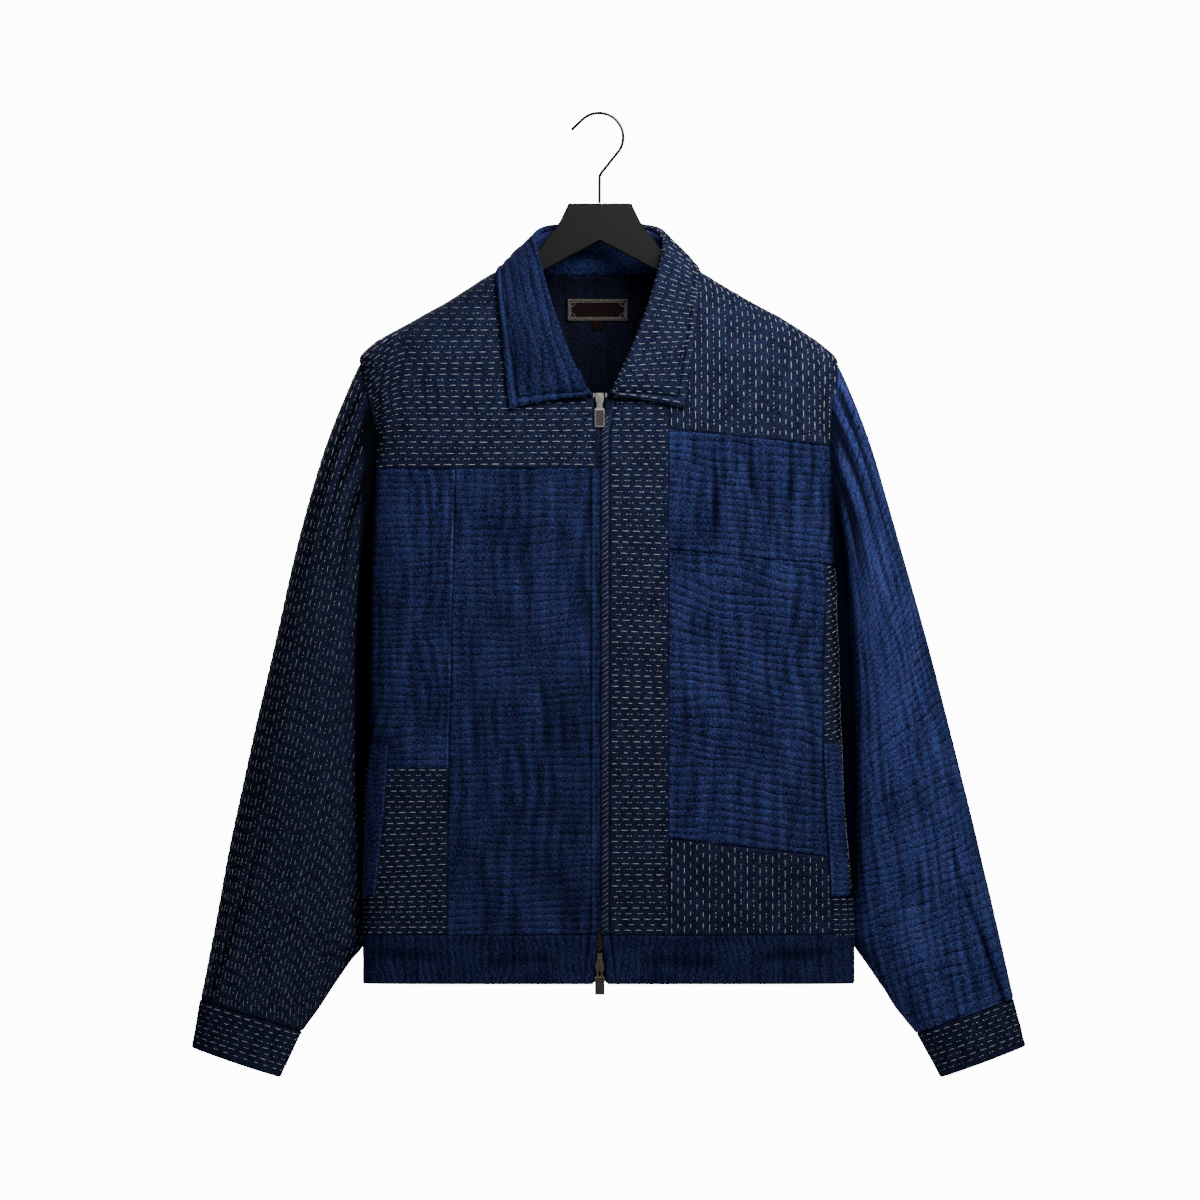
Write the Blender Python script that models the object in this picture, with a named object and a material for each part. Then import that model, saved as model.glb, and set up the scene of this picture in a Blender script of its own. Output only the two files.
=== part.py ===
# Patched jacket of pieced indigo cloth, zipped up and hung on a flat hanger.
# Lengths are millimetres and become metres as each mesh is made.
# The inside top of the hanger's hook is the origin; +Z is up and the front faces -Y.
# The wearer's right is at -X and the wearer's left at +X.

import math

import bmesh
import bpy
import numpy as np

MM = 0.001
RIGHT = -1
LEFT = 1
FRONT = -1
BACK = 1

# Cloth
CLOTH = 1.6
COLLAR_CLOTH = 2.0
SEAM_GAP = 0.3

# Heights along the body
NECK_POINT_Z = -138.5
BACK_NECK_Z = -150.5
FRONT_NECK_Z = -267.0
SHOULDER_TIP_Z = -232.0
UNDERARM_Z = -431.0
WAIST_SEAM_Z = -770.3
HEM_Z = -816.2

# Half width of the body at each height, as (height, half width)
HALF_WIDTH = {
    RIGHT: [(-818, 222.6), (-772, 222.6), (-691, 221.8), (-546, 218.3), (-456, 216.6), (-419, 216),
            (-381, 215.2), (-340, 214.5), (-306, 215), (-278, 221), (-250, 226), (-231, 225.8),
            (-219.5, 218.1), (-197, 180.5), (-174.4, 141), (-150, 101.5), (-138.5, 79.5)],
    LEFT: [(-818, 238.8), (-772, 238.8), (-729, 236), (-644, 229), (-503, 223.8), (-456, 222),
           (-381, 220), (-340, 219.5), (-315, 220), (-297, 221.5), (-268, 225), (-250, 227),
           (-231, 222.5), (-219.5, 211.5), (-197, 178.6), (-174.4, 139.1), (-150, 97.5), (-138.5, 79.5)],
}

# Depth of the front and the back from the shoulder line, as (height, depth)
HALF_DEPTH = {
    FRONT: [(-818, 49), (-772, 51), (-600, 55), (-420, 55), (-330, 53), (-266, 50), (-215, 45),
            (-175, 38), (-150, 30), (-138.5, 24)],
    BACK: [(-818, 45), (-772, 47), (-600, 50), (-420, 53), (-330, 54), (-266, 52), (-215, 48),
           (-175, 41), (-150, 34), (-138.5, 27)],
}

# Squareness of the body's section, where 2 is an ellipse, as (height, power)
SQUARENESS = [(-818, 5.2), (-400, 5), (-320, 4.2), (-270, 3.2), (-231, 2.5), (-200, 2.25), (-138.5, 2.2)]

# Armhole, a tall oval on the body's side
ARMHOLE_REACH = {FRONT: 28.0, BACK: 30.0}
ARMHOLE_MIDDLE_Z = (SHOULDER_TIP_Z + UNDERARM_Z) / 2
ARMHOLE_HALF_HEIGHT = (SHOULDER_TIP_Z - UNDERARM_Z) / 2
ARMHOLE_GAP = 0.75
SHOULDER_RISES = (7, 14, 25, 42, 60, 77)

# Neckline
NECK_HALF_WIDTH = 77.0
NECK_FRONT_GAP = 3.0
NECK_ROUNDNESS = 1.5
NECK_RISES = (1, 5.9, 12, 21.7)
BACK_NECK_CURVE = 2.5

# Seams between the front's patches
RIGHT_YOKE_Z = -333.0
RIGHT_PATCH_Z = -614.0
RIGHT_PANEL_SEAM = [(-772, 142.9), (-614, 141.9), (-550, 140.1), (-333, 135.4)]
LEFT_STRIP_X = 64.4
STRIP_TOP_GAP = 2.0
LEFT_YOKE_Z = (-296.6, -312.0)
LEFT_MIDDLE_Z = (-409.4, -425.0)
LEFT_HEM_PATCH_Z = (-679.6, -697.0)
LEFT_SIDE_SEAM = [(-772, 218.1), (-737, 217.0), (-697, 213.5), (-590, 208.7), (-513, 209.6), (-425, 211.5)]
SIDE_STRIP_TOP_FALL = 0.6
LEFT_CORNER_Z = -735.0

# Edges of the fronts at the zip, as (height, distance from the middle)
ZIP_EDGE = {
    RIGHT: [(-772, 1.1), (-700, 0.7), (-302, 0.5), (-290, 2.4), (-277, 5.3), (-262, 5.8)],
    LEFT: [(-772, 1.1), (-700, 0.7), (-302, 0.5), (-290, 2.2), (-277, 5.0), (-262, 5.6)],
}
WAIST_EDGE = {
    RIGHT: [(-818, 6.6), (-804, 5.3), (-797, 4.8), (-790, 3.6), (-772, 1.9)],
    LEFT: [(-818, 7.1), (-806, 5.6), (-797, 4.8), (-790, 3.6), (-772, 1.9)],
}

# Pocket welts, as (height, distance from the middle)
WELT_INNER = {
    RIGHT: [(-734, 210.0), (-680, 204.4), (-643, 200.7), (-594, 197.9)],
    LEFT: [(-734, 216.2), (-663, 212.4), (-592, 208.7)],
}
WELT_OUTER = {
    RIGHT: [(-734, 221.6), (-691, 220.2), (-625, 217.2), (-594, 214.3)],
    LEFT: [(-734, 233.1), (-644, 227.2), (-592, 223.9)],
}
WELT_TOP_Z = {RIGHT: -592.0, LEFT: -590.5}
WELT_BOTTOM_Z = {RIGHT: -734.5, LEFT: -734.0}

# Sleeves: outer edge and edge along the body, as (height, distance from the middle)
SLEEVE_OUTER = {
    RIGHT: [(-831.4, 376.0), (-749.6, 360.0), (-614.3, 331.8), (-478.9, 301.7), (-388.7, 280.1),
            (-298.4, 252.9), (-275.9, 245.0), (-253.3, 236.9), (-242.0, 232.0), (-232.0, 226.3)],
    LEFT: [(-830.5, 388.6), (-749.6, 370.4), (-614.3, 338.4), (-478.9, 303.6), (-388.7, 278.2),
           (-298.4, 251.0), (-275.9, 243.2), (-253.3, 234.1), (-242.0, 228.4), (-232.0, 223.3)],
}
SLEEVE_INNER = {
    RIGHT: [(-861.5, 280.1), (-840, 264.1), (-817, 249.0), (-806, 241.6), (-794.8, 234.1),
            (-781, 225.6), (-760, 223.6), (-597, 220.0), (-431, 216.6)],
    LEFT: [(-863.4, 297.4), (-840, 278.2), (-817, 263.2), (-806, 255.7), (-794.8, 248.2),
           (-781, 240.4), (-760, 238.6), (-597, 227.5), (-431, 221.5)],
}
SLEEVE_TOP_LAG = 1.3
SLEEVE_DEPTH = [(0, 29), (0.08, 37), (0.2, 47), (0.4, 54), (0.6, 52), (0.8, 44), (0.92, 37), (1, 33)]
SLEEVE_MIDDLE_Y = [(0, 1), (0.3, 6), (0.7, 8), (1, 4)]
SLEEVE_SQUARENESS = [(0, 2), (0.25, 2.25), (0.8, 2.25), (1, 2.1)]
SLEEVE_JOIN = 0.14
SLEEVE_CLEARANCE = 0.8
CLEAR_BELOW_HEM = 5.0
PLEAT_ANGLE = math.radians(60)
PLEAT_WIDTH = 0.17
PLEAT_RISE = 2.4
PLEAT_REACH = (0.72, 0.94)
GATHER_ANGLES = [math.radians(angle) for angle in (45, 75, 105, 285, 315)]
GATHER_RISE = 1.5
GATHER_REACH = [(0.02, 0), (0.07, 1), (0.2, 0.6), (0.32, 0)]

# Cuffs: lower corners as (outer x, outer z, inner x, inner z)
CUFF_CORNERS = {RIGHT: (384.0, -877.0, 300.8, -905.2), LEFT: (400.1, -875.6, 320.3, -905.3)}
CUFF_DEPTH = 30.0
CUFF_GAP = 0.45

# Collar from centre back (0) over the shoulder (0.5) to the zip (1): fold line and outer edge
COLLAR_FOLD = [(0, (0, 31, -105.5)), (0.125, (18, 30, -105.5)), (0.25, (36, 25, -106.5)),
               (0.375, (51, 14, -110)), (0.45, (58.5, 4, -116)), (0.5, (61.5, -4, -122)),
               (0.55, (60.5, -13, -131.5)), (0.6, (57.5, -22, -146)), (0.65, (52.5, -31, -165)),
               (0.7, (46.5, -38.5, -184)), (0.75, (39.5, -44, -203)), (0.8, (31.5, -48.5, -224)),
               (0.85, (24, -51.5, -239)), (0.9, (17, -53.5, -250.5)), (0.95, (11.8, -54.5, -258.5)),
               (1, (8.5, -55, -264))]
COLLAR_EDGE = {
    RIGHT: [(0, (0, 50, -165)), (0.125, (26, 49, -164.5)), (0.25, (52, 45, -162.5)),
            (0.375, (77, 33, -156.5)), (0.45, (90, 16, -149.5)), (0.5, (95.5, 1, -145.5)),
            (0.55, (97, -12, -151)), (0.6, (97, -24, -163)), (0.7, (94.6, -34, -190)),
            (0.8, (91.7, -42, -219)), (0.9, (88.4, -48, -250)), (1, (85, -51, -278))],
    LEFT: [(0, (0, 50, -165)), (0.125, (26, 49, -164.5)), (0.25, (52, 45, -162.5)),
           (0.375, (76, 33, -156.5)), (0.45, (87, 16, -149)), (0.5, (91.5, 1, -143.5)),
           (0.55, (93, -12, -150)), (0.6, (93.2, -24, -161)), (0.7, (91, -34, -189)),
           (0.8, (88, -42, -218)), (0.9, (84, -48, -250)), (1, (79.5, -51, -278))],
}
COLLAR_CURL = 2.6
COLLAR_CURL_ANGLES = [math.radians(angle) for angle in (0, 55, 110, 160)]
COLLAR_SHARES = (0.14, 0.3, 0.48, 0.66, 0.84, 1.0)
COLLAR_EDGE_BOW = 2.6
COLLAR_BOW_START = 0.8
COLLAR_FULLNESS = 2.2
COLLAR_LIFT = 1.4
COLLAR_FOLD_LIFT = 1.6
COLLAR_MIDDLE = np.array([0.0, 0.0, -200.0])
STAND_FROM_ZIP = 1.2
NECK_CENTRE_Y = -8.0
FOLD_GAP = [(0, 0.3), (0.75, 0.4), (0.9, 0.9), (1, 0.9)]
STAND_SEAT = [(0, 0.7), (0.4, 0.9), (0.6, 1.5), (0.9, 1.6), (1, 1.7)]

# Zip
TEETH_HALF_WIDTH = 2.5
TEETH_DEPTH = 2.4
TAPE_WIDTH = 13.0
TAPE_DEPTH = 1.0
TAPE_DROP = CLOTH + SEAM_GAP + (TEETH_DEPTH - TAPE_DEPTH) / 2
TAPE_INNER = [(-818, 4.9), (-786, 4.9), (-780, 2.8), (-286, 2.8), (-280, 4.9), (-262, 4.9)]
TAPE_ENDS = (-815.2, -262.2)
TAPE_MARKS = (-786, -781, -286, -279)
TEETH_TOP_Z = -280.2
TEETH_BOTTOM_Z = -786.5
SLIDER_X = -0.3
SLIDER_LENGTH = 17.0
SLIDER_TOP_Z = {"top": -262.5, "bottom": -786.9}
SLIDER_WIDE_END = {"top": 1, "bottom": -1}
SLIDER_OUTLINE = [(0, 3.4), (2.2, 4.0), (7.0, 3.8), (10.5, 2.5), (17.0, 2.3)]
SLIDER_PLATE = 1.2
BRIDGE_TOP = {"top": 1.0, "bottom": 4.0}
BRIDGE_LENGTH = 11.5
BRIDGE_HALF_WIDTH = 0.7
BRIDGE_RISE = 3.6
BRIDGE_SLOPE = 1.2
BRIDGE_SINK = 0.6
BRIDGE_WALL = 1.4
BRIDGE_HOLE = 2.4
BRIDGE_HOLE_SLOPE = 0.8
BRIDGE_HOLE_GAP = 0.02
PULL_DROP = {"top": 4.5, "bottom": 11.6}
PULL_LENGTH = 27.5
PULL_ARM = 10.6
PULL_HALF_WIDTH = 4.6
PULL_ARM_OUTER = 2.7
PULL_ARM_INNER = 1.05
PULL_SHOULDER = 1.5
PULL_CORNER = 1.0
PULL_SLOT_FOOT = 0.8
PULL_SLOT_STEP = 0.3
PULL_THICKNESS = 1.4
PULL_BAR = 0.65
STOP_X = 5.7
STOP_TOP_Z = -262.6
STOP_SIZE = (1.6, 1.8, 4.0)

# Labels inside the back of the neck, as (left, right, top, bottom)
NECK_LABEL = (-31.0, 26.3, -171.5, -192.7)
SIZE_TAB = (-7.5, 2.8, -193.2, -201.6)
LABEL_CLOTH = 0.8
LABEL_GAP = 0.7

# Hanger
HANGER_THICKNESS = 11.0
HANGER_TOP = [(0, -83.7), (29.6, -83.7), (37.6, -100.1), (42.3, -107.2), (57.5, -126.5)]
HANGER_SHOULDER = (69.0, -137.0)
HANGER_ARM_X = 80.0
HANGER_ARM_Z = -144.0
HANGER_ARM_SLOPE = 0.4
HANGER_ARM_POINTS = 7
HANGER_RIDGE_DROP = 3.1
HANGER_END_X = 192.0
HANGER_END_LEAN = 4.0
HANGER_UNDER_X = (100.0, 40.0, 0.0)
HANGER_BEVEL = 1.2
SHARPEST_CORNER = 0.5
HANGER_UNDER_Z = -118.9
HANGER_UNDER_SLOPE = 27.8
WIRE_RADIUS = 1.4
HOOK_CENTRE = (-1.0, -21.4)
HOOK_RADIUS = 22.8
HOOK_ARC = (math.radians(-32), math.radians(134))
HOOK_ARC_POINTS = 22
HOOK_TIP = (-26.8, -14.6)
HOOK_BEND = [(-0.3, -57.6), (1.2, -55.0)]
HOOK_STEM_X = -0.5
HOOK_STEM_Z = (-72.0, -61.0)
WIRE_SIDES = 8

# Mesh fineness
SECTION_STEPS = 60
LINE_STEPS = 800
SLOPE_STEP = 0.02
CLOSE_ROWS = 0.55
MARK_MARGIN = 2.0
SIDE_CROWDING = 1.5
ARC_STEP = 15.0
ROW_STEP = 34.0
YOKE_ROW_STEP = 20.0
WAIST_ROW_STEP = 15.0
ZIP_ROW_STEP = 60.0
BACK_COLUMNS = 15
WAIST_COLUMNS = 13
WELT_GRID = (5, 7)
LABEL_GRID = (5, 4)
SLEEVE_RINGS = 15
SLEEVE_SIDES = 24
COLLAR_STATIONS = 19
STATION_STEP = 0.02
CLEARING_ROUNDS = 8
SHARP_ANGLE = math.radians(40)

# Colours as red, green and blue, with roughness and metallic values
FINISH = {
    "gauze": ((0.012, 0.045, 0.15), 0.9, 0.0),
    "sashiko": ((0.012, 0.02, 0.05), 0.9, 0.0),
    "tape": ((0.008, 0.012, 0.03), 0.85, 0.0),
    "label": ((0.06, 0.02, 0.025), 0.8, 0.0),
    "silver": ((0.6, 0.58, 0.54), 0.35, 1.0),
    "antique": ((0.3, 0.24, 0.18), 0.4, 1.0),
    "black_wood": ((0.02, 0.019, 0.02), 0.5, 0.0),
    "black_wire": ((0.01, 0.01, 0.012), 0.4, 0.6),
}


def smooth(points):
    """A smooth function through (position, value) pairs that never overshoots them."""
    points = sorted(points, key=lambda pair: pair[0])
    at = np.array([pair[0] for pair in points], float)
    value = np.array([pair[1] for pair in points], float)
    if value.ndim == 2:
        parts = [smooth(list(zip(at, value[:, axis]))) for axis in range(value.shape[1])]
        return lambda t: np.stack([part(t) for part in parts], axis=-1)
    step = np.diff(at)
    slope = np.diff(value) / step
    tangent = np.zeros(len(at))
    tangent[0] = slope[0]
    tangent[-1] = slope[-1]
    for i in range(1, len(at) - 1):
        if slope[i - 1] * slope[i] > 0:
            near = 2 * step[i] + step[i - 1]
            far = step[i] + 2 * step[i - 1]
            tangent[i] = (near + far) / (near / slope[i - 1] + far / slope[i])

    def follow(t):
        t = np.clip(t, at[0], at[-1])
        i = np.clip(np.searchsorted(at, t, side="right") - 1, 0, len(step) - 1)
        u = (t - at[i]) / step[i]
        return (value[i] * (1 + 2 * u) * (1 - u) ** 2 + value[i + 1] * u * u * (3 - 2 * u)
                + tangent[i] * step[i] * u * (1 - u) ** 2 - tangent[i + 1] * step[i] * u * u * (1 - u))

    return follow


half_width = {side: smooth(HALF_WIDTH[side]) for side in (RIGHT, LEFT)}
half_depth = {face: smooth(HALF_DEPTH[face]) for face in (FRONT, BACK)}
squareness = smooth(SQUARENESS)
right_panel_seam = smooth(RIGHT_PANEL_SEAM)
left_side_seam = smooth(LEFT_SIDE_SEAM)
zip_edge = {side: smooth(ZIP_EDGE[side]) for side in (RIGHT, LEFT)}
waist_edge = {side: smooth(WAIST_EDGE[side]) for side in (RIGHT, LEFT)}
collar_fold = smooth(COLLAR_FOLD)
fold_gap = smooth(FOLD_GAP)
stand_seat = smooth(STAND_SEAT)
gather_reach = smooth(GATHER_REACH)
collar_edge = {side: smooth(COLLAR_EDGE[side]) for side in (RIGHT, LEFT)}


def section_line(side, face, z):
    """Half of the body's section at one height, from the middle to the side, with its arc length."""
    width = half_width[side](z)
    depth = half_depth[face](z)
    power = squareness(z)
    corner = 2 ** (-1 / power)
    level = np.linspace(0, corner, SECTION_STEPS)
    steep = np.linspace(corner, 0, SECTION_STEPS)[1:]
    x = np.concatenate([level, (1 - steep ** power) ** (1 / power)]) * width
    y = np.concatenate([(1 - level ** power) ** (1 / power), steep]) * depth
    arc = np.concatenate([[0], np.cumsum(np.hypot(np.diff(x), np.diff(y)))])
    return x, y, arc


def arc_at_x(side, face, z, x):
    xs, _, arc = section_line(side, face, z)
    return np.interp(x, xs, arc)


def arc_at_depth(side, face, z, depth):
    _, ys, arc = section_line(side, face, z)
    return np.interp(-depth, -ys, arc)


def armhole_reach(face, z):
    """How far the armhole reaches forward or back at a height."""
    along = (z - ARMHOLE_MIDDLE_Z) / ARMHOLE_HALF_HEIGHT
    return ARMHOLE_REACH[face] * math.sqrt(max(0.0, 1 - along * along))


def outer_arc(side, face, z):
    """Where a front or back ends at the armhole, the side seam or the shoulder seam."""
    return arc_at_depth(side, face, z, armhole_reach(face, z))


def body_point(side, face, z, arc):
    xs, ys, arcs = section_line(side, face, z)
    return np.array([side * np.interp(arc, arcs, xs), face * np.interp(arc, arcs, ys), z])


def body_level(point):
    """Zero on the body's surface, negative inside it and positive outside it."""
    x, y, z = point
    side = LEFT if x >= 0 else RIGHT
    face = BACK if y >= 0 else FRONT
    power = squareness(z)
    return (abs(x) / half_width[side](z)) ** power + (abs(y) / half_depth[face](z)) ** power - 1


def body_normal(point):
    """The body's outward direction and the length of its slope at a point."""
    slope = np.zeros(3)
    for axis in range(3):
        shift = np.zeros(3)
        shift[axis] = SLOPE_STEP
        slope[axis] = (body_level(point + shift) - body_level(point - shift)) / (2 * SLOPE_STEP)
    length = np.linalg.norm(slope)
    return slope / length, length


def neck_x(z):
    """Half width of the front neckline at a height."""
    along = min(1.0, max(0.0, (NECK_POINT_Z - z) / (NECK_POINT_Z - FRONT_NECK_Z)))
    reach = (1 - along ** NECK_ROUNDNESS) ** (1 / NECK_ROUNDNESS)
    return NECK_FRONT_GAP + (NECK_HALF_WIDTH - NECK_FRONT_GAP) * reach


def back_neck_z(fraction):
    """Height of the back neckline, from the middle (0) to the neck point (1)."""
    return BACK_NECK_Z + (NECK_POINT_Z - BACK_NECK_Z) * abs(fraction) ** BACK_NECK_CURVE


def row_fractions(bottom, top, step, marks=()):
    """Rows from bottom to top about a step apart, with one at each mark between them."""
    marks = sorted({round(mark, 1) for mark in marks if bottom + MARK_MARGIN < mark < top - MARK_MARGIN})
    count = max(1, round((top - bottom) / step))
    rows = np.linspace(bottom, top, count + 1)
    spare = [row for row in rows[1:-1] if all(abs(row - mark) > step * CLOSE_ROWS for mark in marks)]
    rows = [bottom, *sorted([*marks, *spare]), top]
    return [(row - bottom) / (top - bottom) for row in rows]


ARMHOLE_MARKS = [ARMHOLE_MIDDLE_Z + ARMHOLE_HALF_HEIGHT * math.cos(2 * math.pi * i / SLEEVE_SIDES)
                 for i in range(SLEEVE_SIDES // 2 + 1)]
SHOULDER_MARKS = [SHOULDER_TIP_Z + rise for rise in SHOULDER_RISES]
NECK_MARKS = [FRONT_NECK_Z + rise for rise in NECK_RISES] + SHOULDER_MARKS


def eased(count, both_ends=False):
    """Column fractions that come closer together towards the side."""
    spaced = 1 - (1 - np.linspace(0, 1, count + 1)) ** SIDE_CROWDING
    if not both_ends:
        return spaced
    return np.concatenate([-spaced[::-1], spaced[1:]])


def panel_grid(side, face, inner, outer, bottom, top, columns, rows):
    """Points of a panel on the body, half a seam's gap inside its edges.

    inner and outer give arc positions at a height; bottom and top give heights at a column.
    """
    grid = []
    for v in rows:
        line = []
        for u in columns:
            low = bottom(u) + SEAM_GAP / 2
            high = top(u) - SEAM_GAP / 2
            z = low + (high - low) * v
            start = inner(z) + SEAM_GAP / 2
            end = outer(z) - SEAM_GAP / 2
            line.append(body_point(side, face, z, start + (end - start) * u))
        grid.append(line)
    return np.array(grid)


def grid_normals(grid):
    return np.array([[body_normal(point)[0] for point in line] for line in grid])


def make_object(name, finish, vertices, faces, pivot=(0, 0, 0)):
    """A closed solid with its own material, from points in millimetres."""
    mesh = bpy.data.meshes.new(name)
    pivot = np.array(pivot, float)
    mesh.from_pydata([tuple((np.array(v, float) - pivot) * MM) for v in vertices], [], faces)
    body = bmesh.new()
    body.from_mesh(mesh)
    bmesh.ops.recalc_face_normals(body, faces=body.faces)
    body.to_mesh(mesh)
    body.free()
    mesh.shade_smooth()
    mesh.set_sharp_from_angle(angle=SHARP_ANGLE)
    made = bpy.data.objects.new(name, mesh)
    made.location = tuple(pivot * MM)
    bpy.context.scene.collection.objects.link(made)
    colour, roughness, metallic = FINISH[finish]
    material = bpy.data.materials.new(name)
    material.use_nodes = True
    shader = material.node_tree.nodes["Principled BSDF"]
    shader.inputs["Base Color"].default_value = (*colour, 1)
    shader.inputs["Roughness"].default_value = roughness
    shader.inputs["Metallic"].default_value = metallic
    mesh.materials.append(material)
    return made


def wall(name, finish, outside, inside, closed=False):
    """A wall between two grids of points; closed joins each row's ends into a ring."""
    rows, columns = outside.shape[:2]
    vertices = list(outside.reshape(-1, 3)) + list(inside.reshape(-1, 3))
    second = rows * columns
    faces = []
    spans = columns if closed else columns - 1
    for r in range(rows - 1):
        for c in range(spans):
            d = (c + 1) % columns
            a, b = r * columns + c, r * columns + d
            e, f = a + columns, b + columns
            faces.append((a, b, f, e))
            faces.append((second + e, second + f, second + b, second + a))
    for c in range(spans):
        d = (c + 1) % columns
        top = (rows - 1) * columns
        faces.append((second + c, second + d, d, c))
        faces.append((top + c, top + d, second + top + d, second + top + c))
    if not closed:
        for r in range(rows - 1):
            a, b = r * columns, (r + 1) * columns
            e, f = a + columns - 1, b + columns - 1
            faces.append((second + b, second + a, a, b))
            faces.append((f, e, second + e, second + f))
    return make_object(name, finish, vertices, faces)


def body_wall(name, finish, grid, lift=0.0, thickness=CLOTH):
    """Cloth on the body's form, its outer face raised by lift."""
    normals = grid_normals(grid)
    return wall(name, finish, grid + normals * lift, grid + normals * (lift - thickness))


def column_count(inner, outer, z):
    return max(2, round((outer(z) - inner(z)) / ARC_STEP))


def at_x(side, face, edge):
    """An edge at a distance from the middle, as an arc position at each height."""
    return lambda z: arc_at_x(side, face, z, edge(z) if callable(edge) else edge)


def to_side(side, face):
    return lambda z: outer_arc(side, face, z)


def slanted(levels):
    """A seam that falls from the first height to the second across the panel."""
    return lambda u: levels[0] + (levels[1] - levels[0]) * u


def make_front(name, finish, side, inner, outer, bottom, top, marks=(), step=ROW_STEP):
    """A panel of the front between two edges and two seams."""
    low = bottom(1.0)
    high = top(1.0)
    columns = eased(column_count(inner, outer, (low + min(high, UNDERARM_Z)) / 2))
    rows = row_fractions(low, high, step, marks)
    return body_wall(name, finish, panel_grid(side, FRONT, inner, outer, bottom, top, columns, rows))


def make_right_front():
    """Four patches on the wearer's right."""
    zip_line = at_x(RIGHT, FRONT, zip_edge[RIGHT])
    neck_line = at_x(RIGHT, FRONT, lambda z: max(zip_edge[RIGHT](z), neck_x(z)) if z > FRONT_NECK_Z
                     else zip_edge[RIGHT](z))
    seam = at_x(RIGHT, FRONT, right_panel_seam)
    side = to_side(RIGHT, FRONT)
    make_front("right_yoke", "sashiko", RIGHT, neck_line, side, lambda u: RIGHT_YOKE_Z,
               lambda u: NECK_POINT_Z, ARMHOLE_MARKS + NECK_MARKS, step=YOKE_ROW_STEP)
    make_front("right_side_panel", "gauze", RIGHT, seam, side, lambda u: RIGHT_PATCH_Z,
               lambda u: RIGHT_YOKE_Z, ARMHOLE_MARKS)
    make_front("right_pocket_patch", "sashiko", RIGHT, seam, side, lambda u: WAIST_SEAM_Z,
               lambda u: RIGHT_PATCH_Z)
    make_front("right_centre_panel", "gauze", RIGHT, zip_line, seam, lambda u: WAIST_SEAM_Z,
               lambda u: RIGHT_YOKE_Z)


def make_left_front():
    """Seven patches on the wearer's left."""
    strip_edge = at_x(LEFT, FRONT, LEFT_STRIP_X)
    side_edge = at_x(LEFT, FRONT, left_side_seam)
    side = to_side(LEFT, FRONT)
    neck_line = at_x(LEFT, FRONT, lambda z: max(zip_edge[LEFT](z), neck_x(z)) if z > FRONT_NECK_Z
                     else zip_edge[LEFT](z))
    strip_top = neck_strip_top()
    make_front("left_centre_strip", "sashiko", LEFT, neck_line, strip_edge, lambda u: WAIST_SEAM_Z,
               lambda u: strip_top, NECK_MARKS)
    yoke_inner = at_x(LEFT, FRONT, lambda z: max(LEFT_STRIP_X, neck_x(z)))
    make_front("left_yoke", "sashiko", LEFT, yoke_inner, side, slanted(LEFT_YOKE_Z),
               lambda u: NECK_POINT_Z, ARMHOLE_MARKS + SHOULDER_MARKS, step=YOKE_ROW_STEP)
    make_front("left_upper_panel", "gauze", LEFT, strip_edge, side, slanted(LEFT_MIDDLE_Z),
               slanted(LEFT_YOKE_Z))
    make_front("left_lower_panel", "gauze", LEFT, strip_edge, side_edge, slanted(LEFT_HEM_PATCH_Z),
               slanted(LEFT_MIDDLE_Z))
    make_front("left_hem_patch", "sashiko", LEFT, strip_edge, side_edge, lambda u: WAIST_SEAM_Z,
               slanted(LEFT_HEM_PATCH_Z))
    make_front("left_side_strip", "sashiko", LEFT, side_edge, side, lambda u: LEFT_CORNER_Z,
               lambda u: LEFT_MIDDLE_Z[1] - SIDE_STRIP_TOP_FALL * u, [UNDERARM_Z])
    make_front("left_corner_patch", "sashiko", LEFT, side_edge, side, lambda u: WAIST_SEAM_Z,
               lambda u: LEFT_CORNER_Z)


def neck_strip_top():
    """Height where the neckline reaches the centre strip's outer seam, less the seam's width."""
    heights = np.linspace(FRONT_NECK_Z, NECK_POINT_Z, LINE_STEPS)
    reach = np.array([neck_x(z) for z in heights])
    return float(heights[np.argmax(reach > LEFT_STRIP_X - STRIP_TOP_GAP)])


def make_back():
    """One plain panel from side seam to side seam, up to the neckline and the shoulders."""
    columns = eased(BACK_COLUMNS, both_ends=True)
    rows = row_fractions(WAIST_SEAM_Z, NECK_POINT_Z, ROW_STEP, ARMHOLE_MARKS + SHOULDER_MARKS)
    grid = []
    for v in rows:
        line = []
        for u in columns:
            side = LEFT if u >= 0 else RIGHT
            low = WAIST_SEAM_Z + SEAM_GAP / 2
            high = back_neck_z(u) - SEAM_GAP / 2
            z = low + (high - low) * v
            reach = outer_arc(side, BACK, z) - SEAM_GAP / 2
            line.append(body_point(side, BACK, z, reach * abs(u)))
        grid.append(line)
    body_wall("back", "gauze", np.array(grid))


def make_waistband():
    """Two fronts and a back, below the waist seam."""
    for side, name in ((RIGHT, "waistband_right_front"), (LEFT, "waistband_left_front")):
        edge = at_x(side, FRONT, waist_edge[side])
        make_front(name, "gauze", side, edge, to_side(side, FRONT), lambda u: HEM_Z,
                   lambda u: WAIST_SEAM_Z, step=WAIST_ROW_STEP)
    columns = eased(WAIST_COLUMNS, both_ends=True)
    grid = []
    for v in (0, 0.5, 1):
        z = HEM_Z + (WAIST_SEAM_Z - SEAM_GAP / 2 - HEM_Z) * v
        line = []
        for u in columns:
            side = LEFT if u >= 0 else RIGHT
            reach = outer_arc(side, BACK, z) - SEAM_GAP / 2
            line.append(body_point(side, BACK, z, reach * abs(u)))
        grid.append(line)
    body_wall("waistband_back", "gauze", np.array(grid))


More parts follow.
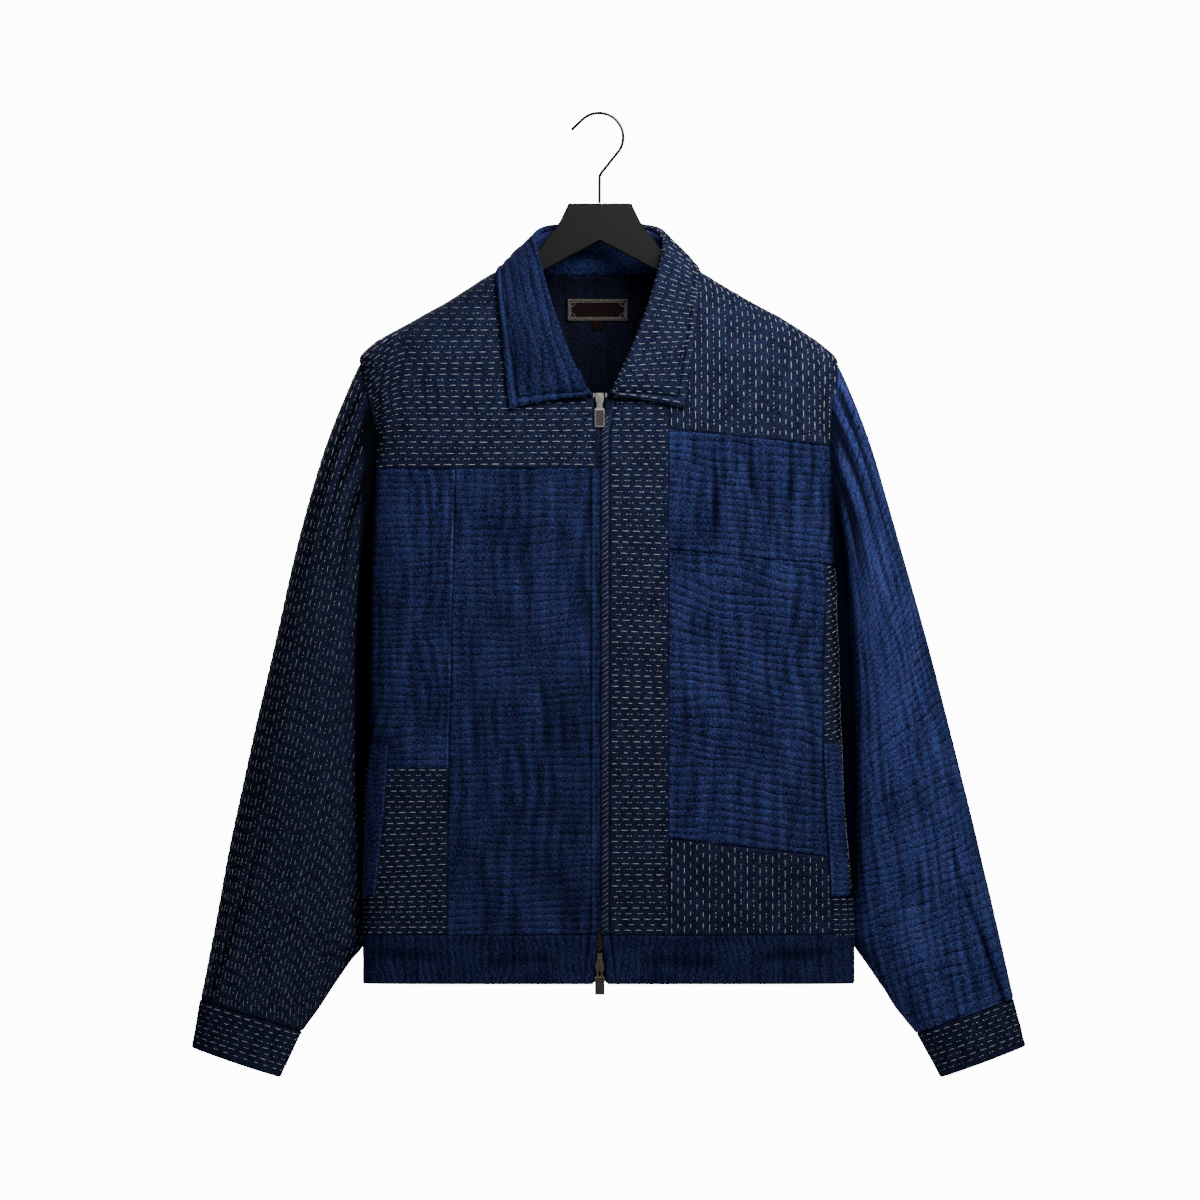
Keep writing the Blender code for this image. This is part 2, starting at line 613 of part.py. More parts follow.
def make_welts():
    """Pocket welts that lie on the fronts."""
    for side, name in ((RIGHT, "right_pocket_welt"), (LEFT, "left_pocket_welt")):
        inner = at_x(side, FRONT, smooth(WELT_INNER[side]))
        outer = at_x(side, FRONT, smooth(WELT_OUTER[side]))
        columns, rows = [np.linspace(0, 1, count) for count in WELT_GRID]
        grid = panel_grid(side, FRONT, inner, outer, lambda u: WELT_BOTTOM_Z[side],
                          lambda u: WELT_TOP_Z[side], columns, rows)
        body_wall(name, "gauze", grid, lift=SEAM_GAP + CLOTH)


def sleeve_ring(side, t, sides):
    """One ring of a sleeve, from the armhole (t = 0) to the cuff's seam (t = 1)."""
    outer = smooth(SLEEVE_OUTER[side])
    inner = smooth(SLEEVE_INNER[side])
    outer_end = min(z for z, _ in SLEEVE_OUTER[side])
    inner_end = min(z for z, _ in SLEEVE_INNER[side])
    outer_z = SHOULDER_TIP_Z + (outer_end - SHOULDER_TIP_Z) * t
    inner_z = UNDERARM_Z + (inner_end - UNDERARM_Z) * t ** SLEEVE_TOP_LAG
    top = np.array([outer(outer_z), outer_z])
    bottom = np.array([inner(inner_z), inner_z])
    depth = smooth(SLEEVE_DEPTH)(t)
    middle_y = smooth(SLEEVE_MIDDLE_Y)(t)
    power = smooth(SLEEVE_SQUARENESS)(t)
    share = min(1.0, t / SLEEVE_JOIN)
    share = share * share * (3 - 2 * share)
    ring = []
    for i in range(sides):
        angle = 2 * math.pi * i / sides
        cosine, sine = math.cos(angle), math.sin(angle)
        across = math.copysign(abs(cosine) ** (2 / power), cosine)
        forward = -math.copysign(abs(sine) ** (2 / power), sine)
        x, z = (top + bottom) / 2 + (top - bottom) / 2 * across
        free = np.array([side * x, middle_y + depth * forward, z])
        free = beside_body(side, free)
        ring.append(armhole_point(side, cosine, sine) * (1 - share) + free * share)
    return np.array(ring)


def armhole_point(side, cosine, sine):
    """A point on the armhole's edge, moved out by the seam's gap."""
    face = FRONT if sine >= 0 else BACK
    z = ARMHOLE_MIDDLE_Z + ARMHOLE_HALF_HEIGHT * cosine
    depth = armhole_reach(face, z)
    point = body_point(side, face, z, arc_at_depth(side, face, z, depth))
    return point + body_normal(point)[0] * ARMHOLE_GAP


def beside_body(side, point):
    """Move a sleeve's point out until it is clear of the body's side."""
    x, y, z = point
    if z < HEM_Z - CLEAR_BELOW_HEM:
        return point
    face = BACK if y >= 0 else FRONT
    share = abs(y) / half_depth[face](z)
    if share >= 1:
        return point
    power = squareness(z)
    limit = half_width[side](z) * (1 - share ** power) ** (1 / power) + SLEEVE_CLEARANCE
    return np.array([side * max(abs(x), limit), y, z])


def ring_normals(rings):
    """Outward directions of a closed grid of rings, from its neighbours."""
    around = np.roll(rings, -1, axis=1) - np.roll(rings, 1, axis=1)
    along = np.gradient(rings, axis=0)
    normals = np.cross(around, along)
    normals /= np.linalg.norm(normals, axis=2, keepdims=True)
    middle = rings.mean(axis=1, keepdims=True)
    facing = np.sum(normals * (rings - middle), axis=2).mean()
    return normals if facing > 0 else -normals


def ridge(angle):
    return math.exp(-(angle / PLEAT_WIDTH) ** 2)


def make_sleeve(side, name, finish):
    """A tube gathered at the head, with a pleat that runs down to the cuff."""
    stations = np.linspace(0, 1, SLEEVE_RINGS + 1)
    rings = np.array([sleeve_ring(side, t, SLEEVE_SIDES) for t in stations])
    normals = ring_normals(rings)
    inside = rings - normals * CLOTH
    outside = rings.copy()
    start, end = PLEAT_REACH
    for r, t in enumerate(stations):
        pleat = PLEAT_RISE * min(1.0, max(0.0, (t - start) / (end - start)))
        gather = GATHER_RISE * gather_reach(t)
        for i in range(SLEEVE_SIDES):
            angle = 2 * math.pi * i / SLEEVE_SIDES
            rise = pleat * ridge(angle - PLEAT_ANGLE)
            rise += gather * sum(ridge(angle - place) for place in GATHER_ANGLES)
            outside[r, i] += normals[r, i] * rise
    wall(name, finish, outside, inside, closed=True)


def make_cuff(side, name):
    """A straight tube from the sleeve's end to the cuff's lower corners."""
    upper = sleeve_ring(side, 1.0, SLEEVE_SIDES)
    outer_x, outer_z, inner_x, inner_z = CUFF_CORNERS[side]
    middle = np.array([(outer_x + inner_x) / 2, (outer_z + inner_z) / 2])
    reach = np.array([(outer_x - inner_x) / 2, (outer_z - inner_z) / 2])
    middle_y = SLEEVE_MIDDLE_Y[-1][1]
    lower = []
    for i in range(SLEEVE_SIDES):
        angle = 2 * math.pi * i / SLEEVE_SIDES
        x, z = middle + reach * math.cos(angle)
        lower.append([side * x, middle_y - CUFF_DEPTH * math.sin(angle), z])
    lower = np.array(lower)
    direction = lower.mean(axis=0) - upper.mean(axis=0)
    direction /= np.linalg.norm(direction)
    upper = upper + direction * CUFF_GAP
    rings = np.array([upper + (lower - upper) * share for share in (0, 0.5, 1)])
    wall(name, "sashiko", rings, rings - ring_normals(rings) * CLOTH, closed=True)


def neckline_point(side, s):
    """The neckline from centre back (0) over the neck point (0.5) to centre front (1)."""
    if s < 0.5:
        fraction = s / 0.5
        z = back_neck_z(fraction)
        return body_point(side, BACK, z, outer_arc(side, BACK, z) * fraction)
    angle = (s - 0.5) * math.pi
    reach = math.cos(angle) ** (2 / NECK_ROUNDNESS) if s < 1 else 0.0
    drop = math.sin(angle) ** (2 / NECK_ROUNDNESS)
    x = NECK_FRONT_GAP + (NECK_HALF_WIDTH - NECK_FRONT_GAP) * reach
    z = NECK_POINT_Z + (FRONT_NECK_Z - NECK_POINT_Z) * drop
    x = max(x, zip_edge[side](z) + STAND_FROM_ZIP)
    return body_point(side, FRONT, z, arc_at_x(side, FRONT, z, x))


def collar_profile(side, s):
    """Stand foot, fold point, the stand's upward and the fold's outward direction, and outer edge."""
    foot = neckline_point(side, s)
    fold = collar_fold(s) * np.array([side, 1, 1])
    edge = collar_edge[side](s) * np.array([side, 1, 1])
    up = fold - foot
    up /= np.linalg.norm(up)
    ahead = collar_fold(min(1.0, s + STATION_STEP)) - collar_fold(max(0.0, s - STATION_STEP))
    ahead = ahead * np.array([side, 1, 1])
    if s < STATION_STEP:
        ahead = np.array([side, 0.0, 0.0])
    out = np.cross(up, ahead) * -side
    out /= np.linalg.norm(out)
    centre = np.array([0.0, NECK_CENTRE_Y, fold[2]])
    if np.dot(out, fold - centre) < 0:
        out = -out
    return foot, fold, up, out, edge


def clear_of_body(point, clearance):
    """Move a point out of the body until it has the clearance asked for."""
    for _ in range(CLEARING_ROUNDS):
        if point[2] > NECK_POINT_Z - 1:
            return point
        direction, length = body_normal(point)
        distance = body_level(point) / length
        if distance >= clearance:
            return point
        point = point + direction * (clearance - distance)
    return point


def fall_grid(side):
    """Middle surface of one collar half: over the fold and down to the outer edge."""
    rows = []
    for s in np.linspace(0, 1, COLLAR_STATIONS):
        _, fold, up, out, edge = collar_profile(side, s)
        line = []
        for angle in COLLAR_CURL_ANGLES:
            turn = out * (1 - math.cos(angle)) + up * math.sin(angle)
            line.append(fold + up * fold_gap(s) + turn * COLLAR_CURL)
        start = line[-1]
        bow = COLLAR_EDGE_BOW * max(0.0, (s - COLLAR_BOW_START) / (1 - COLLAR_BOW_START))
        for share in COLLAR_SHARES:
            arch = math.sin(math.pi * share)
            point = start + (edge - start) * share
            point = point + np.array([0, 0, bow * arch])
            point = point + out * COLLAR_FULLNESS * arch
            need = COLLAR_LIFT + COLLAR_CLOTH / 2 + COLLAR_FOLD_LIFT * (1 - share)
            line.append(clear_of_body(point, need))
        if s == 0:
            for point in line:
                point[0] = side * SEAM_GAP / 2
        rows.append(line)
    return np.array(rows)


def sheet_normals(grid, towards):
    """Directions across an open grid, turned so that they point away from a place."""
    normals = np.cross(np.gradient(grid, axis=0), np.gradient(grid, axis=1))
    normals /= np.linalg.norm(normals, axis=2, keepdims=True)
    facing = np.sum(normals[:, -1] * (grid[:, -1] - towards), axis=1).mean()
    return normals if facing > 0 else -normals


def make_collar():
    """Two halves that meet at centre back, and the stand that joins them to the neckline."""
    for side, name, finish in ((RIGHT, "collar_right", "gauze"), (LEFT, "collar_left", "sashiko")):
        grid = fall_grid(side)
        normals = sheet_normals(grid, COLLAR_MIDDLE)
        for r, s in enumerate(np.linspace(0, 1, COLLAR_STATIONS)):
            out = collar_profile(side, s)[3]
            normals[r, 0] = out * math.copysign(1, np.dot(out, normals[r, 0]))
        normals[0, :, 0] = 0
        normals[0] /= np.linalg.norm(normals[0], axis=1, keepdims=True)
        wall(name, finish, grid + normals * COLLAR_CLOTH / 2, grid - normals * COLLAR_CLOTH / 2)
    rows = []
    stations = np.linspace(0, 1, COLLAR_STATIONS)
    path = [(RIGHT, s) for s in stations[::-1]] + [(LEFT, s) for s in stations[1:]]
    for side, s in path:
        foot, fold, up, out, _ = collar_profile(side, s)
        seat = foot - body_normal(foot)[0] * CLOTH / 2 + up * stand_seat(s)
        line = [seat + (fold - seat) * share for share in (0, 0.5, 1)]
        rows.append([[point + out * CLOTH / 2, point - out * CLOTH / 2] for point in line])
    rows = np.array(rows)
    wall("collar_stand", "gauze", rows[:, :, 0], rows[:, :, 1])


def make_zip():
    """Tapes behind the fronts' edges and the closed row of teeth between them."""
    tape_inner = smooth(TAPE_INNER)
    for side, name in ((RIGHT, "zip_tape_right"), (LEFT, "zip_tape_left")):
        inner = at_x(side, FRONT, tape_inner)
        outer = at_x(side, FRONT, lambda z: tape_inner(z) + TAPE_WIDTH)
        rows = row_fractions(*TAPE_ENDS, ZIP_ROW_STEP, TAPE_MARKS)
        grid = panel_grid(side, FRONT, inner, outer, lambda u: TAPE_ENDS[0],
                          lambda u: TAPE_ENDS[1], (0, 1), rows)
        body_wall(name, "tape", grid, lift=-TAPE_DROP, thickness=TAPE_DEPTH)
    for side, name in ((RIGHT, "zip_teeth_right"), (LEFT, "zip_teeth_left")):
        rows = row_fractions(TEETH_BOTTOM_Z, TEETH_TOP_Z, ZIP_ROW_STEP)
        grid = panel_grid(side, FRONT, at_x(side, FRONT, 0.0), at_x(side, FRONT, TEETH_HALF_WIDTH),
                          lambda u: TEETH_BOTTOM_Z, lambda u: TEETH_TOP_Z, (0, 1), rows)
        body_wall(name, "silver", grid, lift=-(CLOTH + SEAM_GAP), thickness=TEETH_DEPTH)


def prism(outline, low, high, axis):
    """Points and faces of an outline pushed from low to high along an axis."""
    count = len(outline)
    points = []
    for place in (low, high):
        for a, b in outline:
            point = [a, b]
            point.insert(axis, place)
            points.append(point)
    faces = [tuple(range(count)), tuple(range(count, 2 * count))]
    faces += [(i, (i + 1) % count, count + (i + 1) % count, count + i) for i in range(count)]
    return points, faces


def framed_prism(outline, hole, low, high, axis):
    """Points and faces of an outline with a four-sided hole, both of the same number of points."""
    count = len(outline)
    points = []
    for place in (low, high):
        for loop in (outline, hole):
            for a, b in loop:
                point = [a, b]
                point.insert(axis, place)
                points.append(point)
    faces = []
    for i in range(count):
        j = (i + 1) % count
        faces.append((i, j, count + j, count + i))
        faces.append((2 * count + i, 2 * count + j, 3 * count + j, 3 * count + i))
        faces.append((i, j, 2 * count + j, 2 * count + i))
        faces.append((count + i, count + j, 3 * count + j, 3 * count + i))
    return points, faces


def zip_front_y(z):
    """Where the front's outer face lies at the zip."""
    return -float(half_depth[FRONT](z))


def make_sliders():
    """Slider bodies that stay as shown, and pull tabs that swing on their bridges."""
    for end, finish in (("top", "silver"), ("bottom", "antique")):
        top_z = SLIDER_TOP_Z[end]
        cloth_y = zip_front_y(top_z - SLIDER_LENGTH / 2)
        plate_y = cloth_y - SLIDER_PLATE
        back_y = cloth_y + CLOTH + SEAM_GAP + TEETH_DEPTH + SLIDER_PLATE
        edge = [(half, top_z - drop) for drop, half in SLIDER_OUTLINE]
        if SLIDER_WIDE_END[end] < 0:
            edge = [(half, 2 * top_z - SLIDER_LENGTH - z) for half, z in edge][::-1]
        outline = [(SLIDER_X + half, z) for half, z in edge]
        outline += [(SLIDER_X - half, z) for half, z in edge[::-1]]
        points, faces = prism(outline, plate_y, back_y, axis=1)
        body = make_object("slider_" + end, finish, points, faces)
        fuse(body, make_bridge(end, finish, top_z - BRIDGE_TOP[end], plate_y))
        make_pull(end, finish, top_z - PULL_DROP[end], plate_y)
    make_stops()


def make_bridge(end, finish, high_z, plate_y):
    """The arch on a slider's plate that the pull tab's bar runs under."""
    low_z = high_z - BRIDGE_LENGTH
    crown_y = plate_y - BRIDGE_RISE
    foot_y = plate_y + BRIDGE_SINK
    arch = [(foot_y, high_z), (crown_y, high_z - BRIDGE_SLOPE),
            (crown_y, low_z + BRIDGE_SLOPE), (foot_y, low_z)]
    roof_y = plate_y - BRIDGE_HOLE
    floor_y = plate_y - BRIDGE_HOLE_GAP
    roof_inset = BRIDGE_WALL + BRIDGE_HOLE_SLOPE
    hole = [(floor_y, high_z - BRIDGE_WALL), (roof_y, high_z - roof_inset),
            (roof_y, low_z + roof_inset), (floor_y, low_z + BRIDGE_WALL)]
    points, faces = framed_prism(arch, hole, SLIDER_X - BRIDGE_HALF_WIDTH,
                                 SLIDER_X + BRIDGE_HALF_WIDTH, axis=0)
    return make_object("bridge_" + end, finish, points, faces)


def fuse(body, extra):
    """Join a second solid into the first with a union."""
    union = body.modifiers.new("fuse", "BOOLEAN")
    union.operation = "UNION"
    union.object = extra
    bpy.context.view_layer.objects.active = body
    with bpy.context.temp_override(object=body, active_object=body):
        bpy.ops.object.modifier_apply(modifier=union.name)
    bpy.data.objects.remove(extra, do_unlink=True)


def make_pull(end, finish, pivot_z, plate_y):
    """A pull tab: a plate on a narrow loop whose bar lies under the bridge."""
    pivot_y = plate_y - BRIDGE_HOLE / 2
    x = SLIDER_X
    half = PULL_HALF_WIDTH
    arm = PULL_ARM_OUTER
    shoulder = pivot_z - PULL_ARM
    foot = pivot_z - PULL_LENGTH
    right_edge = [(arm, pivot_z + PULL_BAR), (arm, shoulder + PULL_SHOULDER), (half, shoulder),
                  (half, foot + PULL_CORNER), (half - PULL_CORNER, foot)]
    inner = PULL_ARM_INNER
    slot_foot = shoulder + PULL_SLOT_FOOT
    right_hole = [(inner, pivot_z - PULL_BAR), (inner, slot_foot + 2 * PULL_SLOT_STEP),
                  (inner, slot_foot + PULL_SLOT_STEP), (inner, slot_foot), (inner / 2, slot_foot)]
    outline, hole = [[(x + across, z) for across, z in edge] + [(x - across, z) for across, z in edge[::-1]]
                     for edge in (right_edge, right_hole)]
    points, faces = framed_prism(outline, hole, pivot_y - PULL_THICKNESS / 2,
                                 pivot_y + PULL_THICKNESS / 2, axis=1)
    make_object("pull_" + end, finish, points, faces, pivot=(x, pivot_y, pivot_z))


def make_stops():
    """Two small stops on the front of the tapes, at the top."""
    width, depth, height = STOP_SIZE
    low = STOP_TOP_Z - height
    tape_y = zip_front_y(STOP_TOP_Z - height / 2) + TAPE_DROP
    for side, name in ((RIGHT, "zip_stop_right"), (LEFT, "zip_stop_left")):
        left = side * STOP_X - width / 2
        outline = [(left, low), (left + width, low), (left + width, STOP_TOP_Z), (left, STOP_TOP_Z)]
        points, faces = prism(outline, tape_y - SEAM_GAP - depth, tape_y - SEAM_GAP, axis=1)
        make_object(name, "silver", points, faces)


def make_labels():
    """A plain neck label and a size tab on the inner face of the back."""
    for name, place in (("neck_label", NECK_LABEL), ("size_tab", SIZE_TAB)):
        left, right, top, bottom = place
        grid = []
        columns, rows = LABEL_GRID
        for z in np.linspace(bottom, top, rows):
            line = []
            for x in np.linspace(left, right, columns):
                side = LEFT if x >= 0 else RIGHT
                line.append(body_point(side, BACK, z, arc_at_x(side, BACK, z, abs(x))))
            grid.append(line)
        body_wall(name, "label", np.array(grid), lift=-(CLOTH + LABEL_GAP), thickness=LABEL_CLOTH)


def ridge_z(side, x):
    """Height of the shoulder line at a distance from the middle."""
    heights = np.linspace(SHOULDER_TIP_Z, NECK_POINT_Z, LINE_STEPS)
    widths = np.array([half_width[side](z) for z in heights])
    return float(np.interp(-x, -widths, heights))


def hanger_half(side):
    """One side of the hanger's outline, from the top of the block to the middle of its underside."""
    line = HANGER_TOP[1:] + [HANGER_SHOULDER]
    for x in np.linspace(HANGER_ARM_X, HANGER_END_X, HANGER_ARM_POINTS):
        straight = HANGER_ARM_Z - (x - HANGER_ARM_X) * HANGER_ARM_SLOPE
        line.append((x, min(ridge_z(side, x) - HANGER_RIDGE_DROP, straight)))
    fall = math.tan(math.radians(HANGER_UNDER_SLOPE))
    line += [(x, HANGER_UNDER_Z - x * fall) for x in (HANGER_END_X - HANGER_END_LEAN, *HANGER_UNDER_X)]
    return [(side * x, z) for x, z in line]


def make_hanger():
    """A flat board with a block at the neck and bevelled edges."""
    outline = hanger_half(LEFT) + hanger_half(RIGHT)[-2::-1]
    half = HANGER_THICKNESS / 2
    flat = half - HANGER_BEVEL
    rings = []
    for y, shrink in ((-half, HANGER_BEVEL), (-flat, 0), (flat, 0), (half, HANGER_BEVEL)):
        rings.append([[x, y, z] for x, z in inset_outline(outline, shrink)])
    count = len(outline)
    points = [point for ring in rings for point in ring]
    faces = [tuple(range(count)), tuple(range(3 * count, 4 * count))]
    for r in range(3):
        for i in range(count):
            j = (i + 1) % count
            faces.append((r * count + i, r * count + j, (r + 1) * count + j, (r + 1) * count + i))
    make_object("hanger_board", "black_wood", points, faces)


def inset_outline(outline, distance):
    """The outline moved inwards by a distance at each corner."""
    if distance == 0:
        return outline
    points = np.array(outline, float)
    before = points - np.roll(points, 1, axis=0)
    after = np.roll(points, -1, axis=0) - points
    before /= np.linalg.norm(before, axis=1, keepdims=True)
    after /= np.linalg.norm(after, axis=1, keepdims=True)
    turn = before + after
    turn /= np.linalg.norm(turn, axis=1, keepdims=True)
    inward = np.stack([turn[:, 1], -turn[:, 0]], axis=1)
    facing = np.abs(np.sum(inward * np.stack([before[:, 1], -before[:, 0]], axis=1), axis=1))
    stretch = 1 / np.maximum(SHARPEST_CORNER, facing)
    return [tuple(point) for point in points + inward * (distance * stretch)[:, None]]


def hook_points():
    """The wire's middle line: up the stem, out along the slope and over the round top."""
    centre = np.array(HOOK_CENTRE)
    arc = [centre + HOOK_RADIUS * np.array([math.cos(angle), math.sin(angle)])
           for angle in np.linspace(*HOOK_ARC, HOOK_ARC_POINTS)]
    stem = [np.array([HOOK_STEM_X, z]) for z in (HANGER_TOP[0][1] + SEAM_GAP, *HOOK_STEM_Z)]
    bend = [np.array(point) for point in HOOK_BEND]
    slope = [bend[-1] + (arc[0] - bend[-1]) * share for share in (0.33, 0.67)]
    tip = [arc[-1] + (np.array(HOOK_TIP) - arc[-1]) * share for share in (0.5, 1.0)]
    return stem + bend + slope + arc + tip


def make_hook():
    """The wire as a closed tube."""
    line = np.array([[x, 0.0, z] for x, z in hook_points()])
    tangents = np.gradient(line, axis=0)
    tangents /= np.linalg.norm(tangents, axis=1, keepdims=True)
    sides = WIRE_SIDES
    across = np.array([0.0, 1.0, 0.0])
    points = []
    for point, tangent in zip(line, tangents):
        lateral = np.cross(tangent, across)
        for i in range(sides):
            angle = 2 * math.pi * i / sides
            points.append(point + WIRE_RADIUS * (math.cos(angle) * across + math.sin(angle) * lateral))
    faces = [tuple(range(sides)), tuple(range(len(points) - sides, len(points)))]
    for r in range(len(line) - 1):
        for i in range(sides):
            j = (i + 1) % sides
            faces.append((r * sides + i, r * sides + j, (r + 1) * sides + j, (r + 1) * sides + i))
    make_object("hanger_hook", "black_wire", points, faces)


def clear_scene():
    for old in list(bpy.data.objects):
        bpy.data.objects.remove(old, do_unlink=True)


clear_scene()
make_right_front()
make_left_front()
make_back()
make_waistband()
make_welts()
make_sleeve(RIGHT, "right_sleeve", "sashiko")
make_sleeve(LEFT, "left_sleeve", "gauze")
make_cuff(RIGHT, "right_cuff")
make_cuff(LEFT, "left_cuff")
make_collar()
make_zip()
make_sliders()
make_labels()
make_hanger()
make_hook()
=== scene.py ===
import math

import bmesh
import bpy
import numpy as np
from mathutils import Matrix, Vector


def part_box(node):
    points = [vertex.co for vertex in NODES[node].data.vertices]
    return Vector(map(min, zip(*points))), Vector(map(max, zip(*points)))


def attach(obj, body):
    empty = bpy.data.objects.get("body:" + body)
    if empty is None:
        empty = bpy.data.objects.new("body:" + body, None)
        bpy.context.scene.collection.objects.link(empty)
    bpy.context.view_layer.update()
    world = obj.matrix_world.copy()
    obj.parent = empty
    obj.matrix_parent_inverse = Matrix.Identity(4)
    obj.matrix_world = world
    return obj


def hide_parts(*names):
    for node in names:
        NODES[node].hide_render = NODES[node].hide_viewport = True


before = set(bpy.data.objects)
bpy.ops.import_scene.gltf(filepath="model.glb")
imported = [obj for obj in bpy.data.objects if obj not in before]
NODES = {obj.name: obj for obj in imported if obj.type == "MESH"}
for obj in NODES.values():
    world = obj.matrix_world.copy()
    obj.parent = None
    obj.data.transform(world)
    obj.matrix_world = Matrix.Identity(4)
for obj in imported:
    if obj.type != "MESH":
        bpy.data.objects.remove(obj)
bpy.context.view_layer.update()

# The patched jacket's cloth, stitches, zip and label, on the solids' own form.
# Lengths are millimetres and become metres as each mesh is made.
# The front faces -Y. The wearer's right is at -X and the wearer's left at +X.

MM = 0.001
RIGHT = -1
LEFT = 1
FRONT = -1
BACK = 1

# Cloth
CLOTH = 1.6
COLLAR_CLOTH = 2.0
SEAM_GAP = 0.3
SEAM_LAP = 0.2
# Where the light line beside a sewn edge runs, partly thread and partly a painted highlight on the seam's
# ridge, measured from that edge
EDGE_RIDGE_AT = 1.5

# Heights along the body
NECK_POINT_Z = -138.5
BACK_NECK_Z = -150.5
FRONT_NECK_Z = -267.0
SHOULDER_TIP_Z = -232.0
UNDERARM_Z = -431.0
WAIST_SEAM_Z = -770.3
HEM_Z = -816.2
BODY_BOTTOM_Z = -818.0

# Half width of the body at each height, as (height, half width)
HALF_WIDTH = {
    RIGHT: [(-818, 222.6), (-772, 222.6), (-691, 221.8), (-546, 218.3), (-456, 216.6), (-419, 216),
            (-381, 215.2), (-340, 214.5), (-306, 215), (-278, 221), (-250, 226), (-231, 225.8),
            (-219.5, 218.1), (-197, 180.5), (-174.4, 141), (-150, 101.5), (-138.5, 79.5)],
    LEFT: [(-818, 238.8), (-772, 238.8), (-729, 236), (-644, 229), (-503, 223.8), (-456, 222),
           (-381, 220), (-340, 219.5), (-315, 220), (-297, 221.5), (-268, 225), (-250, 227),
           (-231, 222.5), (-219.5, 211.5), (-197, 178.6), (-174.4, 139.1), (-150, 97.5), (-138.5, 79.5)],
}

# Depth of the front and the back from the shoulder line, as (height, depth)
HALF_DEPTH = {
    FRONT: [(-818, 49), (-772, 51), (-600, 55), (-420, 55), (-330, 53), (-266, 50), (-215, 45),
            (-175, 38), (-150, 30), (-138.5, 24)],
    BACK: [(-818, 45), (-772, 47), (-600, 50), (-420, 53), (-330, 54), (-266, 52), (-215, 48),
           (-175, 41), (-150, 34), (-138.5, 27)],
}

# Squareness of the body's section, where 2 is an ellipse, as (height, power)
SQUARENESS = [(-818, 5.2), (-400, 5), (-320, 4.2), (-270, 3.2), (-231, 2.5), (-200, 2.25), (-138.5, 2.2)]

# Armhole, a tall oval on the body's side
ARMHOLE_REACH = {FRONT: 28.0, BACK: 30.0}
ARMHOLE_MIDDLE_Z = (SHOULDER_TIP_Z + UNDERARM_Z) / 2
ARMHOLE_HALF_HEIGHT = (SHOULDER_TIP_Z - UNDERARM_Z) / 2
ARMHOLE_TUCK = 2.0

# Neckline
NECK_HALF_WIDTH = 77.0
NECK_FRONT_GAP = 3.0
NECK_ROUNDNESS = 1.5
BACK_NECK_POWER = 2.5

# Seams between the front's patches
RIGHT_YOKE_Z = -333.0
RIGHT_PATCH_Z = -614.0
RIGHT_PANEL_SEAM = [(-772, 142.9), (-614, 141.9), (-550, 140.1), (-333, 135.4)]
LEFT_STRIP_X = 64.4
STRIP_TOP_GAP = 2.0
LEFT_YOKE_Z = (-296.6, -312.0)
LEFT_MIDDLE_Z = (-409.4, -425.0)
LEFT_HEM_PATCH_Z = (-679.6, -697.0)
LEFT_SIDE_SEAM = [(-772, 218.1), (-737, 217.0), (-697, 213.5), (-590, 208.7), (-513, 209.6), (-425, 211.5)]
LEFT_CORNER_Z = -735.0
# Topstitching's distance from the zip edge, and the heights below which the sides turn into shade
TOPSTITCH_AT = 8.6
YOKE_TURN_Z = -272.0
SIDE_TURN_Z = -278.0

# The right yoke's rows bend down from a distance across, over a bend, by a depth and then at a slope
DROP_FROM = 180.0
DROP_BEND = 24.0
DROP_DEPTH = 9.0
DROP_SLOPE = 0.7
# Pleats under the left yoke as (distance across, length)
UPPER_FOLDS = [(88, 42), (107, 105), (114, 60), (127, 45), (141, 70), (158, 110), (179, 80), (200, 60)]

# Edges of the fronts at the zip, as (height, distance from the middle)
ZIP_EDGE = {
    RIGHT: [(-772, 0.9), (-750, 0.2), (-302, 0.2), (-290, 2.4), (-277, 5.3), (-262, 5.8)],
    LEFT: [(-772, 0.9), (-750, 0.2), (-302, 0.2), (-290, 2.2), (-277, 5.0), (-262, 5.6)],
}
WAIST_EDGE = {
    RIGHT: [(-818, 6.6), (-804, 5.3), (-797, 4.8), (-790, 3.6), (-772, 1.9)],
    LEFT: [(-818, 7.1), (-806, 5.6), (-797, 4.8), (-790, 3.6), (-772, 1.9)],
}

# Pocket welts, as (height, distance from the middle)
WELT_INNER = {
    RIGHT: [(-734, 210.0), (-680, 204.4), (-643, 200.7), (-594, 197.9)],
    LEFT: [(-734, 216.2), (-663, 212.4), (-592, 208.7)],
}
WELT_OUTER = {
    RIGHT: [(-734, 221.6), (-691, 220.2), (-625, 217.2), (-594, 214.3)],
    LEFT: [(-734, 233.1), (-644, 227.2), (-592, 223.9)],
}
WELT_TOP_Z = {RIGHT: -592.0, LEFT: -590.5}
WELT_BOTTOM_Z = {RIGHT: -734.5, LEFT: -734.0}

# Sleeves: outer edge and edge along the body, as (height, distance from the middle)
SLEEVE_OUTER = {
    RIGHT: [(-831.4, 376.0), (-749.6, 360.0), (-614.3, 331.8), (-478.9, 301.7), (-388.7, 280.1),
            (-298.4, 252.9), (-275.9, 245.0), (-253.3, 236.9), (-242.0, 232.0), (-232.0, 226.3)],
    LEFT: [(-830.5, 388.6), (-749.6, 370.4), (-614.3, 338.4), (-478.9, 303.6), (-388.7, 278.2),
           (-298.4, 251.0), (-275.9, 243.2), (-253.3, 234.1), (-242.0, 228.4), (-232.0, 223.3)],
}
SLEEVE_INNER = {
    RIGHT: [(-861.5, 280.1), (-840, 264.1), (-817, 249.0), (-806, 241.6), (-794.8, 234.1),
            (-781, 223.4), (-760, 219.5), (-597, 217.0), (-431, 213.6)],
    LEFT: [(-863.4, 297.4), (-840, 278.2), (-817, 263.2), (-806, 255.7), (-794.8, 248.2),
           (-781, 239.2), (-760, 235.0), (-597, 224.5), (-431, 218.5)],
}
